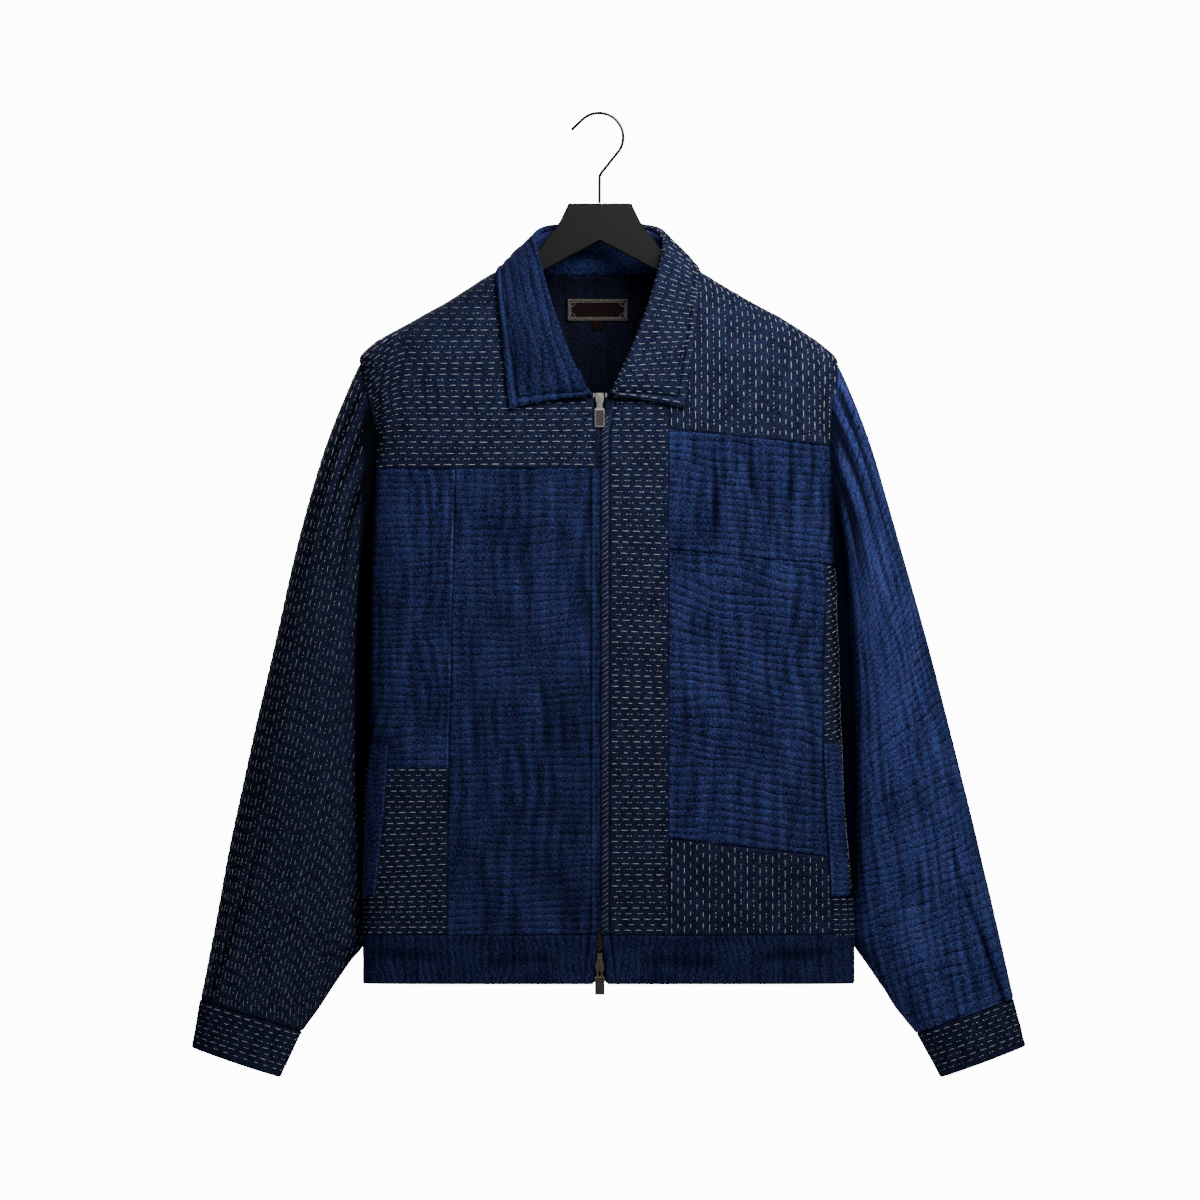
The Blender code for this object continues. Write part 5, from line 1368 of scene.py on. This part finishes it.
class Tube(Cloth):
    """A sleeve or a cuff, where across is measured round from the outer edge, to the front first."""

    def __init__(self, rings, angles, vs, columns, length):
        shares = np.linspace(0, 1, columns + 1)
        made = [evenly_round(ring, angles, shares) for ring in rings]
        points = np.array([part[0] for part in made])
        self.angles = np.array([part[1] for part in made])
        self.girth = np.array([part[2] for part in made])
        signed = np.where(shares <= 0.5, shares, shares - 1)
        across = self.girth[:, None] * signed[None, :]
        down = -(vs * length)[:, None] * np.ones_like(across)
        super().__init__(points, across, down, shares, vs, closed=True)


def from_edge(run):
    """Sideways distance from a sleeve's outer edge to the line that lies a run round from it."""
    quarter = ROWS_EDGE_RADIUS * math.pi / 2
    return ROWS_EDGE_RADIUS * (1 - math.cos(min(run, quarter) / ROWS_EDGE_RADIUS)) + max(run - quarter, 0)


def length_rows(side, tube, pitch):
    """Lines down a sleeve that keep their distance from its outer edge, and lean out towards the cuff."""
    vs = tube.vs
    offsets = sleeve_outer[side](tube.base[..., 2]) - side * tube.base[..., 0]
    late = np.clip((vs - ROWS_LEAN_FROM) / (1 - ROWS_LEAN_FROM), 0, 1)
    narrowed = 1 - ROWS_LEAN * late * late * (2 - late)
    shares = tube.us[tube.us <= 0.5]
    halves = [offsets[:, :len(shares)], offsets[:, ::-1][:, :len(shares)]]
    runs = (np.arange(int(tube.girth.max() / 2 / pitch)) + 0.5) * pitch
    lines = []
    for half, turn in zip(halves, (1, -1)):
        half = np.maximum.accumulate(half, axis=1)
        for run in runs:
            wanted = from_edge(run) * narrowed
            found = np.array([np.interp(offset, row, shares) for offset, row in zip(wanted, half)])
            inside = (wanted < half[:, -1] - ROW_END) & (wanted > half[:, 0])
            if inside.sum() > 5:
                lines.append((turn * found[inside] % 1.0, vs[inside]))
    return lines


def sleeve_tube(side, columns, row_step):
    vs = spread(SLEEVE_LENGTH, row_step)
    angles = np.linspace(0, 2 * math.pi, RING_SAMPLES + 1)
    return Tube([sleeve_ring(side, t, angles) for t in vs], angles, vs, columns, SLEEVE_LENGTH)


def sleeve_relief(tube):
    """Gathers at the sleeve head and the pleat that runs down to the cuff, as height and shade."""
    t = tube.vs[:, None]
    start, end = PLEAT_REACH
    pleat = np.clip((t - start) / (end - start), 0, 1)
    from_pleat = tube.angles - (PLEAT_ANGLE + PLEAT_LEAN * (1 - t))
    height = PLEAT_RISE * pleat * bump(from_pleat, PLEAT_WIDTH)
    height = height - FOLD_SINK * pleat * bump(from_pleat - 0.16, 0.05)
    shade = FOLD_SHADE * pleat * bump(from_pleat - 0.16, 0.05)
    gather = smooth(GATHER_REACH)(t)
    for place in GATHER_ANGLES:
        from_gather = tube.angles - place
        height = height + GATHER_RISE * gather * bump(from_gather, PLEAT_WIDTH)
        height = height - FOLD_SINK * gather * bump(from_gather - 0.2, 0.1)
        shade = shade + FOLD_SHADE * gather * bump(from_gather - 0.2, 0.09)
    return height, shade


# Painted shade in the fold beside the body: near black within the fold, and a broader soft shade beside it
def valley_shade(side, sleeve):
    x, z = side * sleeve.base[..., 0], sleeve.base[..., 2]
    return np.maximum(0.95 * in_valley(side, x, z), 0.6 * in_valley(side, x, z, VALLEY_SHADOW))


def out_of_valley(side, sleeve, stitches):
    """The stitches outside the fold beside the body, as those in the light and those in the painted shade
    at its edge.
    """
    places = np.array(stitches)
    points, _ = sleeve.spot(places[:, 1, 0], places[:, 1, 1])
    x, z = side * points[:, 0], points[:, 2]
    hidden = in_valley(side, x, z) > 0.45
    shaded = in_valley(side, x, z, VALLEY_SHADOW) > 0.1
    return places[~hidden & ~shaded], places[~hidden & shaded]


def sleeve_form(side, seed, columns, row_step):
    """A sleeve with the height of its gathers, its pleat and its soft waves, and painted shade in the
    troughs of its gathers and pleat and in the fold beside the body.
    """
    sleeve = sleeve_tube(side, columns, row_step)
    height, shade = sleeve_relief(sleeve)
    height = height + 0.9 * noise(seed, sleeve.across, sleeve.down, 38, 90)
    return sleeve, height, shade + valley_shade(side, sleeve)


def make_right_sleeve():
    sleeve, height, shade = sleeve_form(RIGHT, 161, 132, 3.6)
    finish_form(sleeve, height, shade)
    stitches = stitch_rows(sleeve, length_rows(RIGHT, sleeve, 4.6), 11.6, 162, beat=0.27)
    lit, shaded = out_of_valley(RIGHT, sleeve, stitches)
    made = shell("right_sleeve_cloth", sleeve, CLOTH, STITCHED, GAUZE_INSIDE)
    # The stitches in the painted shade at the fold's edge take the dim thread, a darker copy of the thread
    threads = [stitch_mesh("right_sleeve_stitches", sleeve, lit, *SLEEVE_STITCH),
               stitch_mesh("right_sleeve_shaded_stitches", sleeve, shaded, *SLEEVE_STITCH, DIM_THREAD)]
    dress("right_sleeve", made, threads)


def make_left_sleeve():
    sleeve, height, shade = sleeve_form(LEFT, 179, 232, 4.0)
    lengthwise = crinkle_phase(171, sleeve.down, sleeve.across, 9.5, 0.7, 90)
    ribs = troughs(173, sleeve.down, lengthwise, 80, 0.5)
    sleeve.row = crinkle_phase(176, sleeve.across, sleeve.down, 8.0, 0.7, 50)
    height = height - 0.9 * ribs + 0.3 * np.sin(between_lines(sleeve.row) * math.pi / 2)
    # Painted shade in the troughs of the lengthwise ribs
    finish_form(sleeve, height, shade + 0.5 * ribs)
    made = shell("left_sleeve_cloth", sleeve, CLOTH, GAUZE_SLEEVE, GAUZE_INSIDE)
    dress("left_sleeve", made)


def make_cuffs():
    angles = np.linspace(0, 2 * math.pi, RING_SAMPLES + 1)
    for side, name, seed in ((RIGHT, "right_cuff", 181), (LEFT, "left_cuff", 186)):
        upper = sleeve_ring(side, 1.0, angles)
        outer_x, outer_z, inner_x, inner_z = CUFF_CORNERS[side]
        x = (outer_x + inner_x) / 2 + (outer_x - inner_x) / 2 * np.cos(angles)
        z = (outer_z + inner_z) / 2 + (outer_z - inner_z) / 2 * np.cos(angles)
        y = SLEEVE_MIDDLE_Y[-1][1] - CUFF_DEPTH * np.sin(angles)
        lower = np.stack([side * x, y, z], axis=-1)
        direction = lower[:-1].mean(axis=0) - upper[:-1].mean(axis=0)
        direction /= np.linalg.norm(direction)
        upper = upper + direction * SEAM_GAP * 1.5
        vs = spread(CUFF_LENGTH, 3.0)
        cuff = Tube([upper + (lower - upper) * v for v in vs], angles, vs, 96, CUFF_LENGTH)
        shares = np.linspace(0.003, 0.997, 240)
        rows = [(shares, np.full(len(shares), v / CUFF_LENGTH))
                for v in np.arange(3.5, CUFF_LENGTH - 2, 5.1)]
        make_stitched_panel(name, cuff, [name.replace("cuff", "sleeve")], seed, rows, 10.2, waves=0.4)


# Collar

def neckline_points(side, stations):
    """The neckline from centre back (0) over the neck point (0.5) to centre front (1)."""
    points = []
    for s in stations:
        if s < 0.5:
            fraction = s / 0.5
            z = np.array([back_neck_z(fraction)])
            points.append(body_points(side, BACK, z, back_side[side](z) * fraction)[0])
            continue
        angle = (s - 0.5) * math.pi
        reach = math.cos(angle) ** (2 / NECK_ROUNDNESS) if s < 1 else 0.0
        drop = math.sin(angle) ** (2 / NECK_ROUNDNESS)
        x = NECK_FRONT_GAP + (NECK_HALF_WIDTH - NECK_FRONT_GAP) * reach
        z = NECK_POINT_Z + (FRONT_NECK_Z - NECK_POINT_Z) * drop
        x = max(x, float(zip_edge[side](z)) + 1.2)
        place = arc_at(side, FRONT, z, x)
        points.append(body_points(side, FRONT, np.array([z]), np.array([place]))[0])
    return np.array(points)


def collar_profile(side, stations):
    """Stand foot, fold line, the stand's upward and the fold's outward direction, and outer edge."""
    flip = np.array([side, 1, 1])
    foot = neckline_points(side, stations)
    fold = collar_fold(stations) * flip
    edge = collar_edge[side](stations) * flip
    up = fold - foot
    up /= np.linalg.norm(up, axis=1, keepdims=True)
    near = 0.02
    after, before = [collar_fold(np.clip(stations + step, 0.0, 1.0)) for step in (near, -near)]
    ahead = (after - before) * flip
    ahead[stations < near] = (side, 0.0, 0.0)
    out = np.cross(up, ahead) * -side
    out /= np.linalg.norm(out, axis=1, keepdims=True)
    centre = np.stack([np.zeros(len(fold)), np.full(len(fold), NECK_MIDDLE_Y), fold[:, 2]], axis=-1)
    facing = np.sum(out * (fold - centre), axis=1)
    out[facing < 0] *= -1
    return foot, fold, up, out, edge


def clear_of_body(points, clearance):
    """Move points out of the body until they have the clearance asked for."""
    for _ in range(8):
        direction, length = body_normals(points)
        distance = body_level(points) / length
        short = (distance < clearance) & (points[..., 2] <= NECK_POINT_Z - 1)
        points = points + np.where(short[..., None], direction * (clearance - distance)[..., None], 0.0)
    return points


def fall_points(side, stations, shares):
    """Middle surface of one collar half: over the fold and down to the outer edge."""
    _, fold, up, out, edge = collar_profile(side, stations)
    columns = []
    for angle in np.radians(np.linspace(0, 160, 9)):
        turn = out * (1 - math.cos(angle)) + up * math.sin(angle)
        columns.append(fold + up * smooth(FOLD_GAP)(stations)[:, None] + turn * COLLAR_CURL)
    start = columns[-1]
    bow = COLLAR_EDGE_BOW * np.maximum(0.0, (stations - 0.8) / 0.2)
    for share in shares[1:]:
        arch = math.sin(math.pi * share)
        points = start + (edge - start) * share + out * COLLAR_FULLNESS * arch
        points[:, 2] += bow * arch
        columns.append(clear_of_body(points, COLLAR_LIFT + COLLAR_CLOTH / 2 + 1.6 * (1 - share)))
    grid = np.stack(columns, axis=1)
    grid[0, :, 0] = -side * SEAM_LAP / 2
    return grid


def collar_half(side):
    """One half of the collar, from centre back to the zip, with its topstitching's groove."""
    stations = spread(190.0, 2.0)
    shares = spread(60.0, 1.9)
    while (len(shares) - 1 + 8) % BACKING_STEP:
        shares = np.linspace(0, 1, len(shares) + 1)
    grid = fall_points(side, stations, shares)
    across = np.ones((len(stations), 1)) * run_along(grid.mean(axis=0))
    down = run_along(grid[:, grid.shape[1] // 2])[:, None] * np.ones((1, grid.shape[1]))
    outward = np.zeros_like(grid)
    outward[:, -1] = grid[:, -1] - COLLAR_CENTRE
    collar = Cloth(grid, across, down, np.linspace(0, 1, grid.shape[1]), stations, outward=outward)
    collar.base = collar.base + collar.normals * COLLAR_CLOTH / 2
    collar.groove = np.minimum(across[:, -1:] - across, down[-1:] - down) - COLLAR_TOPSTITCH_AT
    return collar


def make_collar():
    collar = collar_half(RIGHT)
    collar.row = crinkle_phase(191, collar.down, collar.across, 9.2, 0.5, 70)
    ribs = troughs(193, collar.down, collar.row, 60, 0.45)
    wrinkles = 0.5 * noise(195, collar.down, collar.across, 16, 9) - 0.5 * ribs
    # Painted shade in the troughs of the ribs
    finish_form(collar, wrinkles - 0.6 * bump(collar.groove, 1.6), 0.25 * ribs, roll=0.5)
    made = shell("collar_right_cloth", collar, COLLAR_CLOTH, GAUZE_COLLAR, GAUZE)
    dress("collar_right", made)

    collar = collar_half(LEFT)
    wrinkles = 0.4 * noise(201, collar.across, collar.down, 24, 24)
    finish_form(collar, wrinkles - 0.6 * bump(collar.groove, 1.6), 0.0 * wrinkles, roll=0.5)
    run = collar.down[:, 0]
    rows = [(np.linspace(0.02, 0.99, 90), np.full(90, np.interp(place, run, collar.vs)))
            for place in np.arange(4.0, run[-1] - 2, 5.3)]
    stitches = stitch_rows(collar, rows, 10.4, 202)
    made = shell("collar_left_cloth", collar, COLLAR_CLOTH, STITCHED, STITCHED)
    threads = stitch_mesh("collar_left_stitches", collar, stitches)
    dress("collar_left", made, [threads])
    make_stand()


def make_stand():
    """The collar's stand, from zip to zip round the neck."""
    half = spread(190.0, 3.4)
    shares = np.linspace(0, 1, STAND_ROWS)
    halves = []
    for side, stations in ((RIGHT, half[::-1]), (LEFT, half[1:])):
        foot, fold, up, out, _ = collar_profile(side, stations)
        seat = foot - body_normals(foot)[0] * CLOTH / 2 + up * smooth(STAND_SEAT)(stations)[:, None]
        points = seat[:, None] + (fold - seat)[:, None] * shares[None, :, None]
        halves.append(points + out[:, None] * CLOTH / 2)
    grid = np.concatenate(halves)
    run = run_along(grid[:, STAND_ROWS // 2])
    across = np.ones((len(grid), 1)) * shares[None, :] * STAND_HEIGHT
    down = run[:, None] * np.ones((1, STAND_ROWS))
    outward = grid - np.array([0.0, NECK_MIDDLE_Y, 0.0]) - grid * (0, 0, 1)
    stand = Cloth(grid, across, down, shares, run / run[-1], outward=outward)
    stand.row = crinkle_phase(211, down, across, 8.0, 0.6, 60)
    height = -0.2 * troughs(213, down, stand.row, 60, 0.4)
    finish_form(stand, height, 0.0 * height, roll=0.3)
    made = shell("collar_stand_cloth", stand, CLOTH, GAUZE_STAND, GAUZE_STAND)
    dress("collar_stand", made)


# Labels, zip and hanger

def metal(name, dark, light, roughness, grain=900.0):
    """Plated metal with fine uneven polish."""
    material, tree, shader = new_material(name)
    fine = grain_of(tree, grain, 3.0)
    set_look(tree, shader, mixed_colour(tree, ranged(tree, fine, 0.35, 0.65), dark, light), roughness)
    polish = ranged(tree, fine, 0.0, 1.0, (roughness * 0.8, roughness * 1.25))
    tree.links.new(polish, shader.inputs["Roughness"])
    shader.inputs["Metallic"].default_value = 1.0
    return material


def coated(name, colour, roughness, grain, strength):
    """A dark coat with a faint grain."""
    material, tree, shader = new_material(name)
    fine = grain_of(tree, grain, 3.0)
    set_look(tree, shader, mixed_colour(tree, fine, colour, scaled_colour(colour, 1.5)), roughness)
    set_relief(tree, shader, fine, strength, 0.2)
    return material


def tape_material():
    """Ribbed navy zip tape."""
    material, tree, shader = new_material("zip_tape")
    place = add_node(tree, "ShaderNodeTexCoord", {}).outputs["Object"]
    ribs = add_node(tree, "ShaderNodeTexWave", {"Vector": place, "Scale": 420.0, "Distortion": 1.5},
                    bands_direction="Z").outputs[0]
    set_look(tree, shader, mixed_colour(tree, ribs, (0.002, 0.003, 0.009), (0.008, 0.012, 0.03)), 0.9)
    set_relief(tree, shader, ribs, 0.5, 0.3)
    return material


def paint(names, material):
    for name in names:
        for slot in NODES[name].material_slots:
            slot.material = material


SILVER = metal("satin_silver", (0.8, 0.79, 0.77), (0.9, 0.89, 0.87), 0.4, 2500.0)
# A darker silver for the sunk field of each pull tab
SILVER_DARK = metal("field_silver", (0.16, 0.155, 0.15), (0.3, 0.29, 0.28), 0.4)
ANTIQUE = metal("antique_brass", (0.3, 0.24, 0.18), (0.62, 0.53, 0.42), 0.36)
COPPER = metal("copper_teeth", (0.32, 0.17, 0.11), (0.6, 0.36, 0.25), 0.3)


def box_faces(start):
    corners = [(0, 1, 3, 2), (4, 6, 7, 5), (0, 4, 5, 1), (2, 3, 7, 6), (0, 2, 6, 4), (1, 5, 7, 3)]
    return [tuple(start + i for i in face) for face in corners]


def make_teeth():
    """Teeth that cross the middle in turn, each a small block with a narrower tip."""
    reach, high = TOOTH_SIZE
    heights = np.arange(TEETH_BOTTOM_Z + TOOTH_PITCH, TEETH_TOP_Z - TOOTH_PITCH, TOOTH_PITCH)
    for side, name, lag in ((RIGHT, "zip_teeth_right", 0.0), (LEFT, "zip_teeth_left", 0.5)):
        vertices = []
        faces = []
        for z in heights + lag * TOOTH_PITCH:
            front = -float(half_depth[FRONT](z)) + CLOTH + SEAM_GAP
            faces += box_faces(len(vertices))
            for x, half, sink in ((-TOOTH_CROSSING, high * TOOTH_TIP, TOOTH_TIP_SINK),
                                  (reach, high / 2, 0.0)):
                for y in (front + sink, front + TEETH_DEPTH - sink):
                    vertices += [(side * x, y, z - half), (side * x, y, z + half)]
        made = fill_mesh(name + "_row", vertices, faces, [COPPER])
        made.data.shade_flat()
        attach(made, "jacket")
        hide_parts(name)


def make_rim(pull, x, y, top, bottom, material, inlay):
    """A raised border and a darker field on both faces of a pull tab."""
    def corners(inset, out):
        left, right = x - PULL_HALF_WIDTH + inset, x + PULL_HALF_WIDTH - inset
        high, low = top - inset, bottom + inset
        return [(left, y + out, high), (right, y + out, high), (right, y + out, low), (left, y + out, low)]

    border = []
    border_faces = []
    field = []
    field_faces = []
    for face in (-1, 1):
        foot, crest = face * PULL_HALF_THICK, face * (PULL_HALF_THICK + RIM_RISE)
        start = len(border)
        for inset, out in ((0.15, foot), (0.35, crest), (RIM_WIDE, crest), (RIM_WIDE + 0.2, foot)):
            border += corners(inset, out)
        border_faces += [(ring + i, ring + (i + 1) % 4, ring + 4 + (i + 1) % 4, ring + 4 + i)
                         for ring in (start, start + 4, start + 8) for i in range(4)]
        field_faces.append(tuple(range(len(field), len(field) + 4)))
        field += corners(RIM_WIDE + 0.1, face * FIELD_OUT)
    for name, points, faces, finish in (("_rim", border, border_faces, material),
                                        ("_field", field, field_faces, inlay)):
        made = fill_mesh(pull + name, points, faces, [finish])
        made.data.shade_flat()
        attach(made, pull)


def make_labels():
    """A plain woven label with a border of small stitches, and a size tab with nothing on it."""
    maroon = cloth_material("label_cloth", LABEL_COLOURS, LABEL_THREADS, LABEL_CLOUDS, LABEL_CONTRAST)
    silver_thread, tree, shader = new_material("border_thread")
    colour = mixed_colour(tree, grain_of(tree, 900.0), (0.24, 0.23, 0.21), (0.5, 0.48, 0.44))
    set_look(tree, shader, colour, 0.6)
    for node, place in (("neck_label", NECK_LABEL), ("size_tab", SIZE_TAB)):
        left, right, top, bottom = place
        us = np.linspace(0, 1, 49)
        vs = np.linspace(0, 1, 17)
        u, v = np.meshgrid(us, vs)
        x = left + (right - left) * u
        z = bottom + (top - bottom) * v
        points = np.zeros((*u.shape, 3))
        for side, used in ((RIGHT, x < 0), (LEFT, x >= 0)):
            edge = np.array([[arc_at(side, BACK, float(b), abs(float(a))) for a, b in zip(row_x, row_z)]
                             for row_x, row_z in zip(x, z)])
            points[used] = body_points(side, BACK, z[used], edge[used])
        points = points - body_normals(points)[0] * (CLOTH + LABEL_GAP + LABEL_CLOTH)
        toward = np.zeros_like(points)
        toward[..., 1] = -1.0
        label = Cloth(points, x, z, us, vs, outward=toward)
        finish_form(label, 0.08 * noise(221, x, z, 12, 12), 0.0 * x, roll=0.2)
        made = shell(node + "_cloth", label, LABEL_CLOTH, maroon, maroon)
        extras = []
        if node == "neck_label":
            extras = [stitch_mesh("neck_label_border", label, border_stitches(right - left, top - bottom),
                                  half_wide=0.28, rise=0.18, material=silver_thread)]
        dress(node, made, extras)


def border_stitches(width, height):
    """Two frames with a zigzag between them and a small scallop at each inner corner."""
    found = []

    def add(points):
        for (x0, z0), (x1, z1) in zip(points[:-1], points[1:]):
            found.append([(x0 / width, z0 / height), ((x0 + x1) / 2 / width, (z0 + z1) / 2 / height),
                          (x1 / width, z1 / height)])

    def frame_at(inset, pitch):
        corners = [(inset, inset), (width - inset, inset), (width - inset, height - inset),
                   (inset, height - inset), (inset, inset)]
        for (x0, z0), (x1, z1) in zip(corners[:-1], corners[1:]):
            count = max(2, round(math.hypot(x1 - x0, z1 - z0) / pitch))
            add([(x0 + (x1 - x0) * i / count, z0 + (z1 - z0) * i / count) for i in range(count + 1)])

    frame_at(0.9, 1.6)
    frame_at(3.4, 1.6)
    pitch = 1.5
    for low, high in ((1.4, 2.9), (height - 2.9, height - 1.4)):
        count = round((width - 3.0) / pitch)
        add([(1.5 + i * pitch, low if i % 2 else high) for i in range(count)])
    for low, high in ((1.4, 2.9), (width - 2.9, width - 1.4)):
        count = round((height - 3.0) / pitch)
        add([(low if i % 2 else high, 1.5 + i * pitch) for i in range(count)])
    for x, z, start in ((3.4, 3.4, 0), (width - 3.4, 3.4, 90), (width - 3.4, height - 3.4, 180),
                        (3.4, height - 3.4, 270)):
        angles = np.radians(np.linspace(start, start + 90, 6))
        add([(x + 4.2 * math.cos(a), z + 4.2 * math.sin(a)) for a in angles])
    return found


def make_hardware():
    paint(["slider_top", "zip_stop_left", "zip_stop_right", "pull_top"], SILVER)
    paint(["slider_bottom", "pull_bottom"], ANTIQUE)
    paint(["zip_tape_left", "zip_tape_right"], tape_material())
    paint(["hanger_board"], coated("satin_black", (0.006, 0.006, 0.0065), 0.42, 60.0, 0.15))
    paint(["hanger_hook"], coated("black_wire", (0.004, 0.004, 0.0045), 0.3, 300.0, 0.05))
    make_teeth()
    for pull, slot_name, material in (("pull_top", "silver_metal", SILVER),
                                      ("pull_bottom", "antique_brass", ANTIQUE)):
        low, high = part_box(pull)
        x = (low[0] + high[0]) / 2 / MM
        y = (low[1] + high[1]) / 2 / MM
        make_rim(pull, x, y, low[2] / MM + PULL_PLATE, low[2] / MM, material, SILVER_DARK)


# Camera, light and backdrop

def make_camera():
    data = bpy.data.cameras.new("camera")
    data.sensor_width = SENSOR_WIDTH
    data.lens = SENSOR_WIDTH * CAMERA_DISTANCE / VIEW_WIDTH
    data.clip_end = CLIP_END
    camera = bpy.data.objects.new("camera", data)
    camera.location = (0.0, -CAMERA_DISTANCE, CAMERA_Z)
    camera.rotation_euler = (math.radians(90), 0.0, 0.0)
    bpy.context.scene.collection.objects.link(camera)
    bpy.context.scene.camera = camera


def make_light(name, size, power, location, target):
    """A soft rectangular light at a place, turned to a target."""
    data = bpy.data.lights.new(name, "AREA")
    data.shape = "RECTANGLE"
    data.size, data.size_y = size
    data.energy = power
    light = bpy.data.objects.new(name, data)
    light.location = location
    away = np.array(location) - np.array(target)
    pan = math.atan2(away[0], -away[1])
    tilt = math.atan2(away[2], math.hypot(away[0], away[1]))
    light.rotation_euler = (math.radians(90) - tilt, 0.0, pan)
    bpy.context.scene.collection.objects.link(light)


def pale_material(name, low, high, glow):
    material, tree, shader = new_material(name)
    set_look(tree, shader, mixed_colour(tree, grain_of(tree, 3.0, 1.0), (low,) * 3, (high,) * 3), 0.9)
    shader.inputs["Emission Color"].default_value = (1.0, 1.0, 1.0, 1.0)
    shader.inputs["Emission Strength"].default_value = glow
    return material


def make_studio():
    """A round pale room that is only a backdrop, a floor that throws light up, and soft lights."""
    turns = np.radians(np.linspace(0, 90, 9))
    profile = [(0.0, FLOOR_Z)]
    profile += [(ROOM_RADIUS - ROOM_CORNER * (1 - math.sin(a)), FLOOR_Z + ROOM_CORNER * (1 - math.cos(a)))
                for a in turns]
    profile += [(ROOM_RADIUS, ROOM_TOP), (0.0, ROOM_TOP)]
    around = np.radians(np.arange(0, 360, 7.5))
    vertices = [(r * math.cos(a) / MM, r * math.sin(a) / MM, z / MM) for r, z in profile for a in around]
    index = np.arange(len(vertices)).reshape(len(profile), len(around))
    faces = quads(np.concatenate([index, index[:, :1]], axis=1)).tolist()
    room = fill_mesh("room", vertices, faces, [pale_material("pale_room", 0.93, 0.96, ROOM_GLOW)])
    for ray in ("diffuse", "glossy", "transmission", "shadow"):
        setattr(room, "visible_" + ray, False)
    wide, deep = FLOOR_HALF_SIZE
    corners = [(x / MM, y / MM, FLOOR_Z / MM) for y in (-deep, deep) for x in (-wide, wide)]
    floor = fill_mesh("floor", corners, [(0, 1, 3, 2)], [pale_material("pale_floor", 0.74, 0.78, 0.0)])
    floor.visible_camera = False
    world = bpy.data.worlds.new("studio")
    world.use_nodes = True
    background = world.node_tree.nodes["Background"]
    background.inputs["Color"].default_value = (1.0, 1.0, 1.0, 1.0)
    background.inputs["Strength"].default_value = WORLD_STRENGTH
    bpy.context.scene.world = world
    for name, (size, power, location, target) in LIGHTS.items():
        make_light(name, size, power, location, target)


make_camera()
make_studio()
make_right_front()
make_left_front()
make_back()
make_waistband()
make_welts()
make_right_sleeve()
make_left_sleeve()
make_cuffs()
make_collar()
make_labels()
make_hardware()
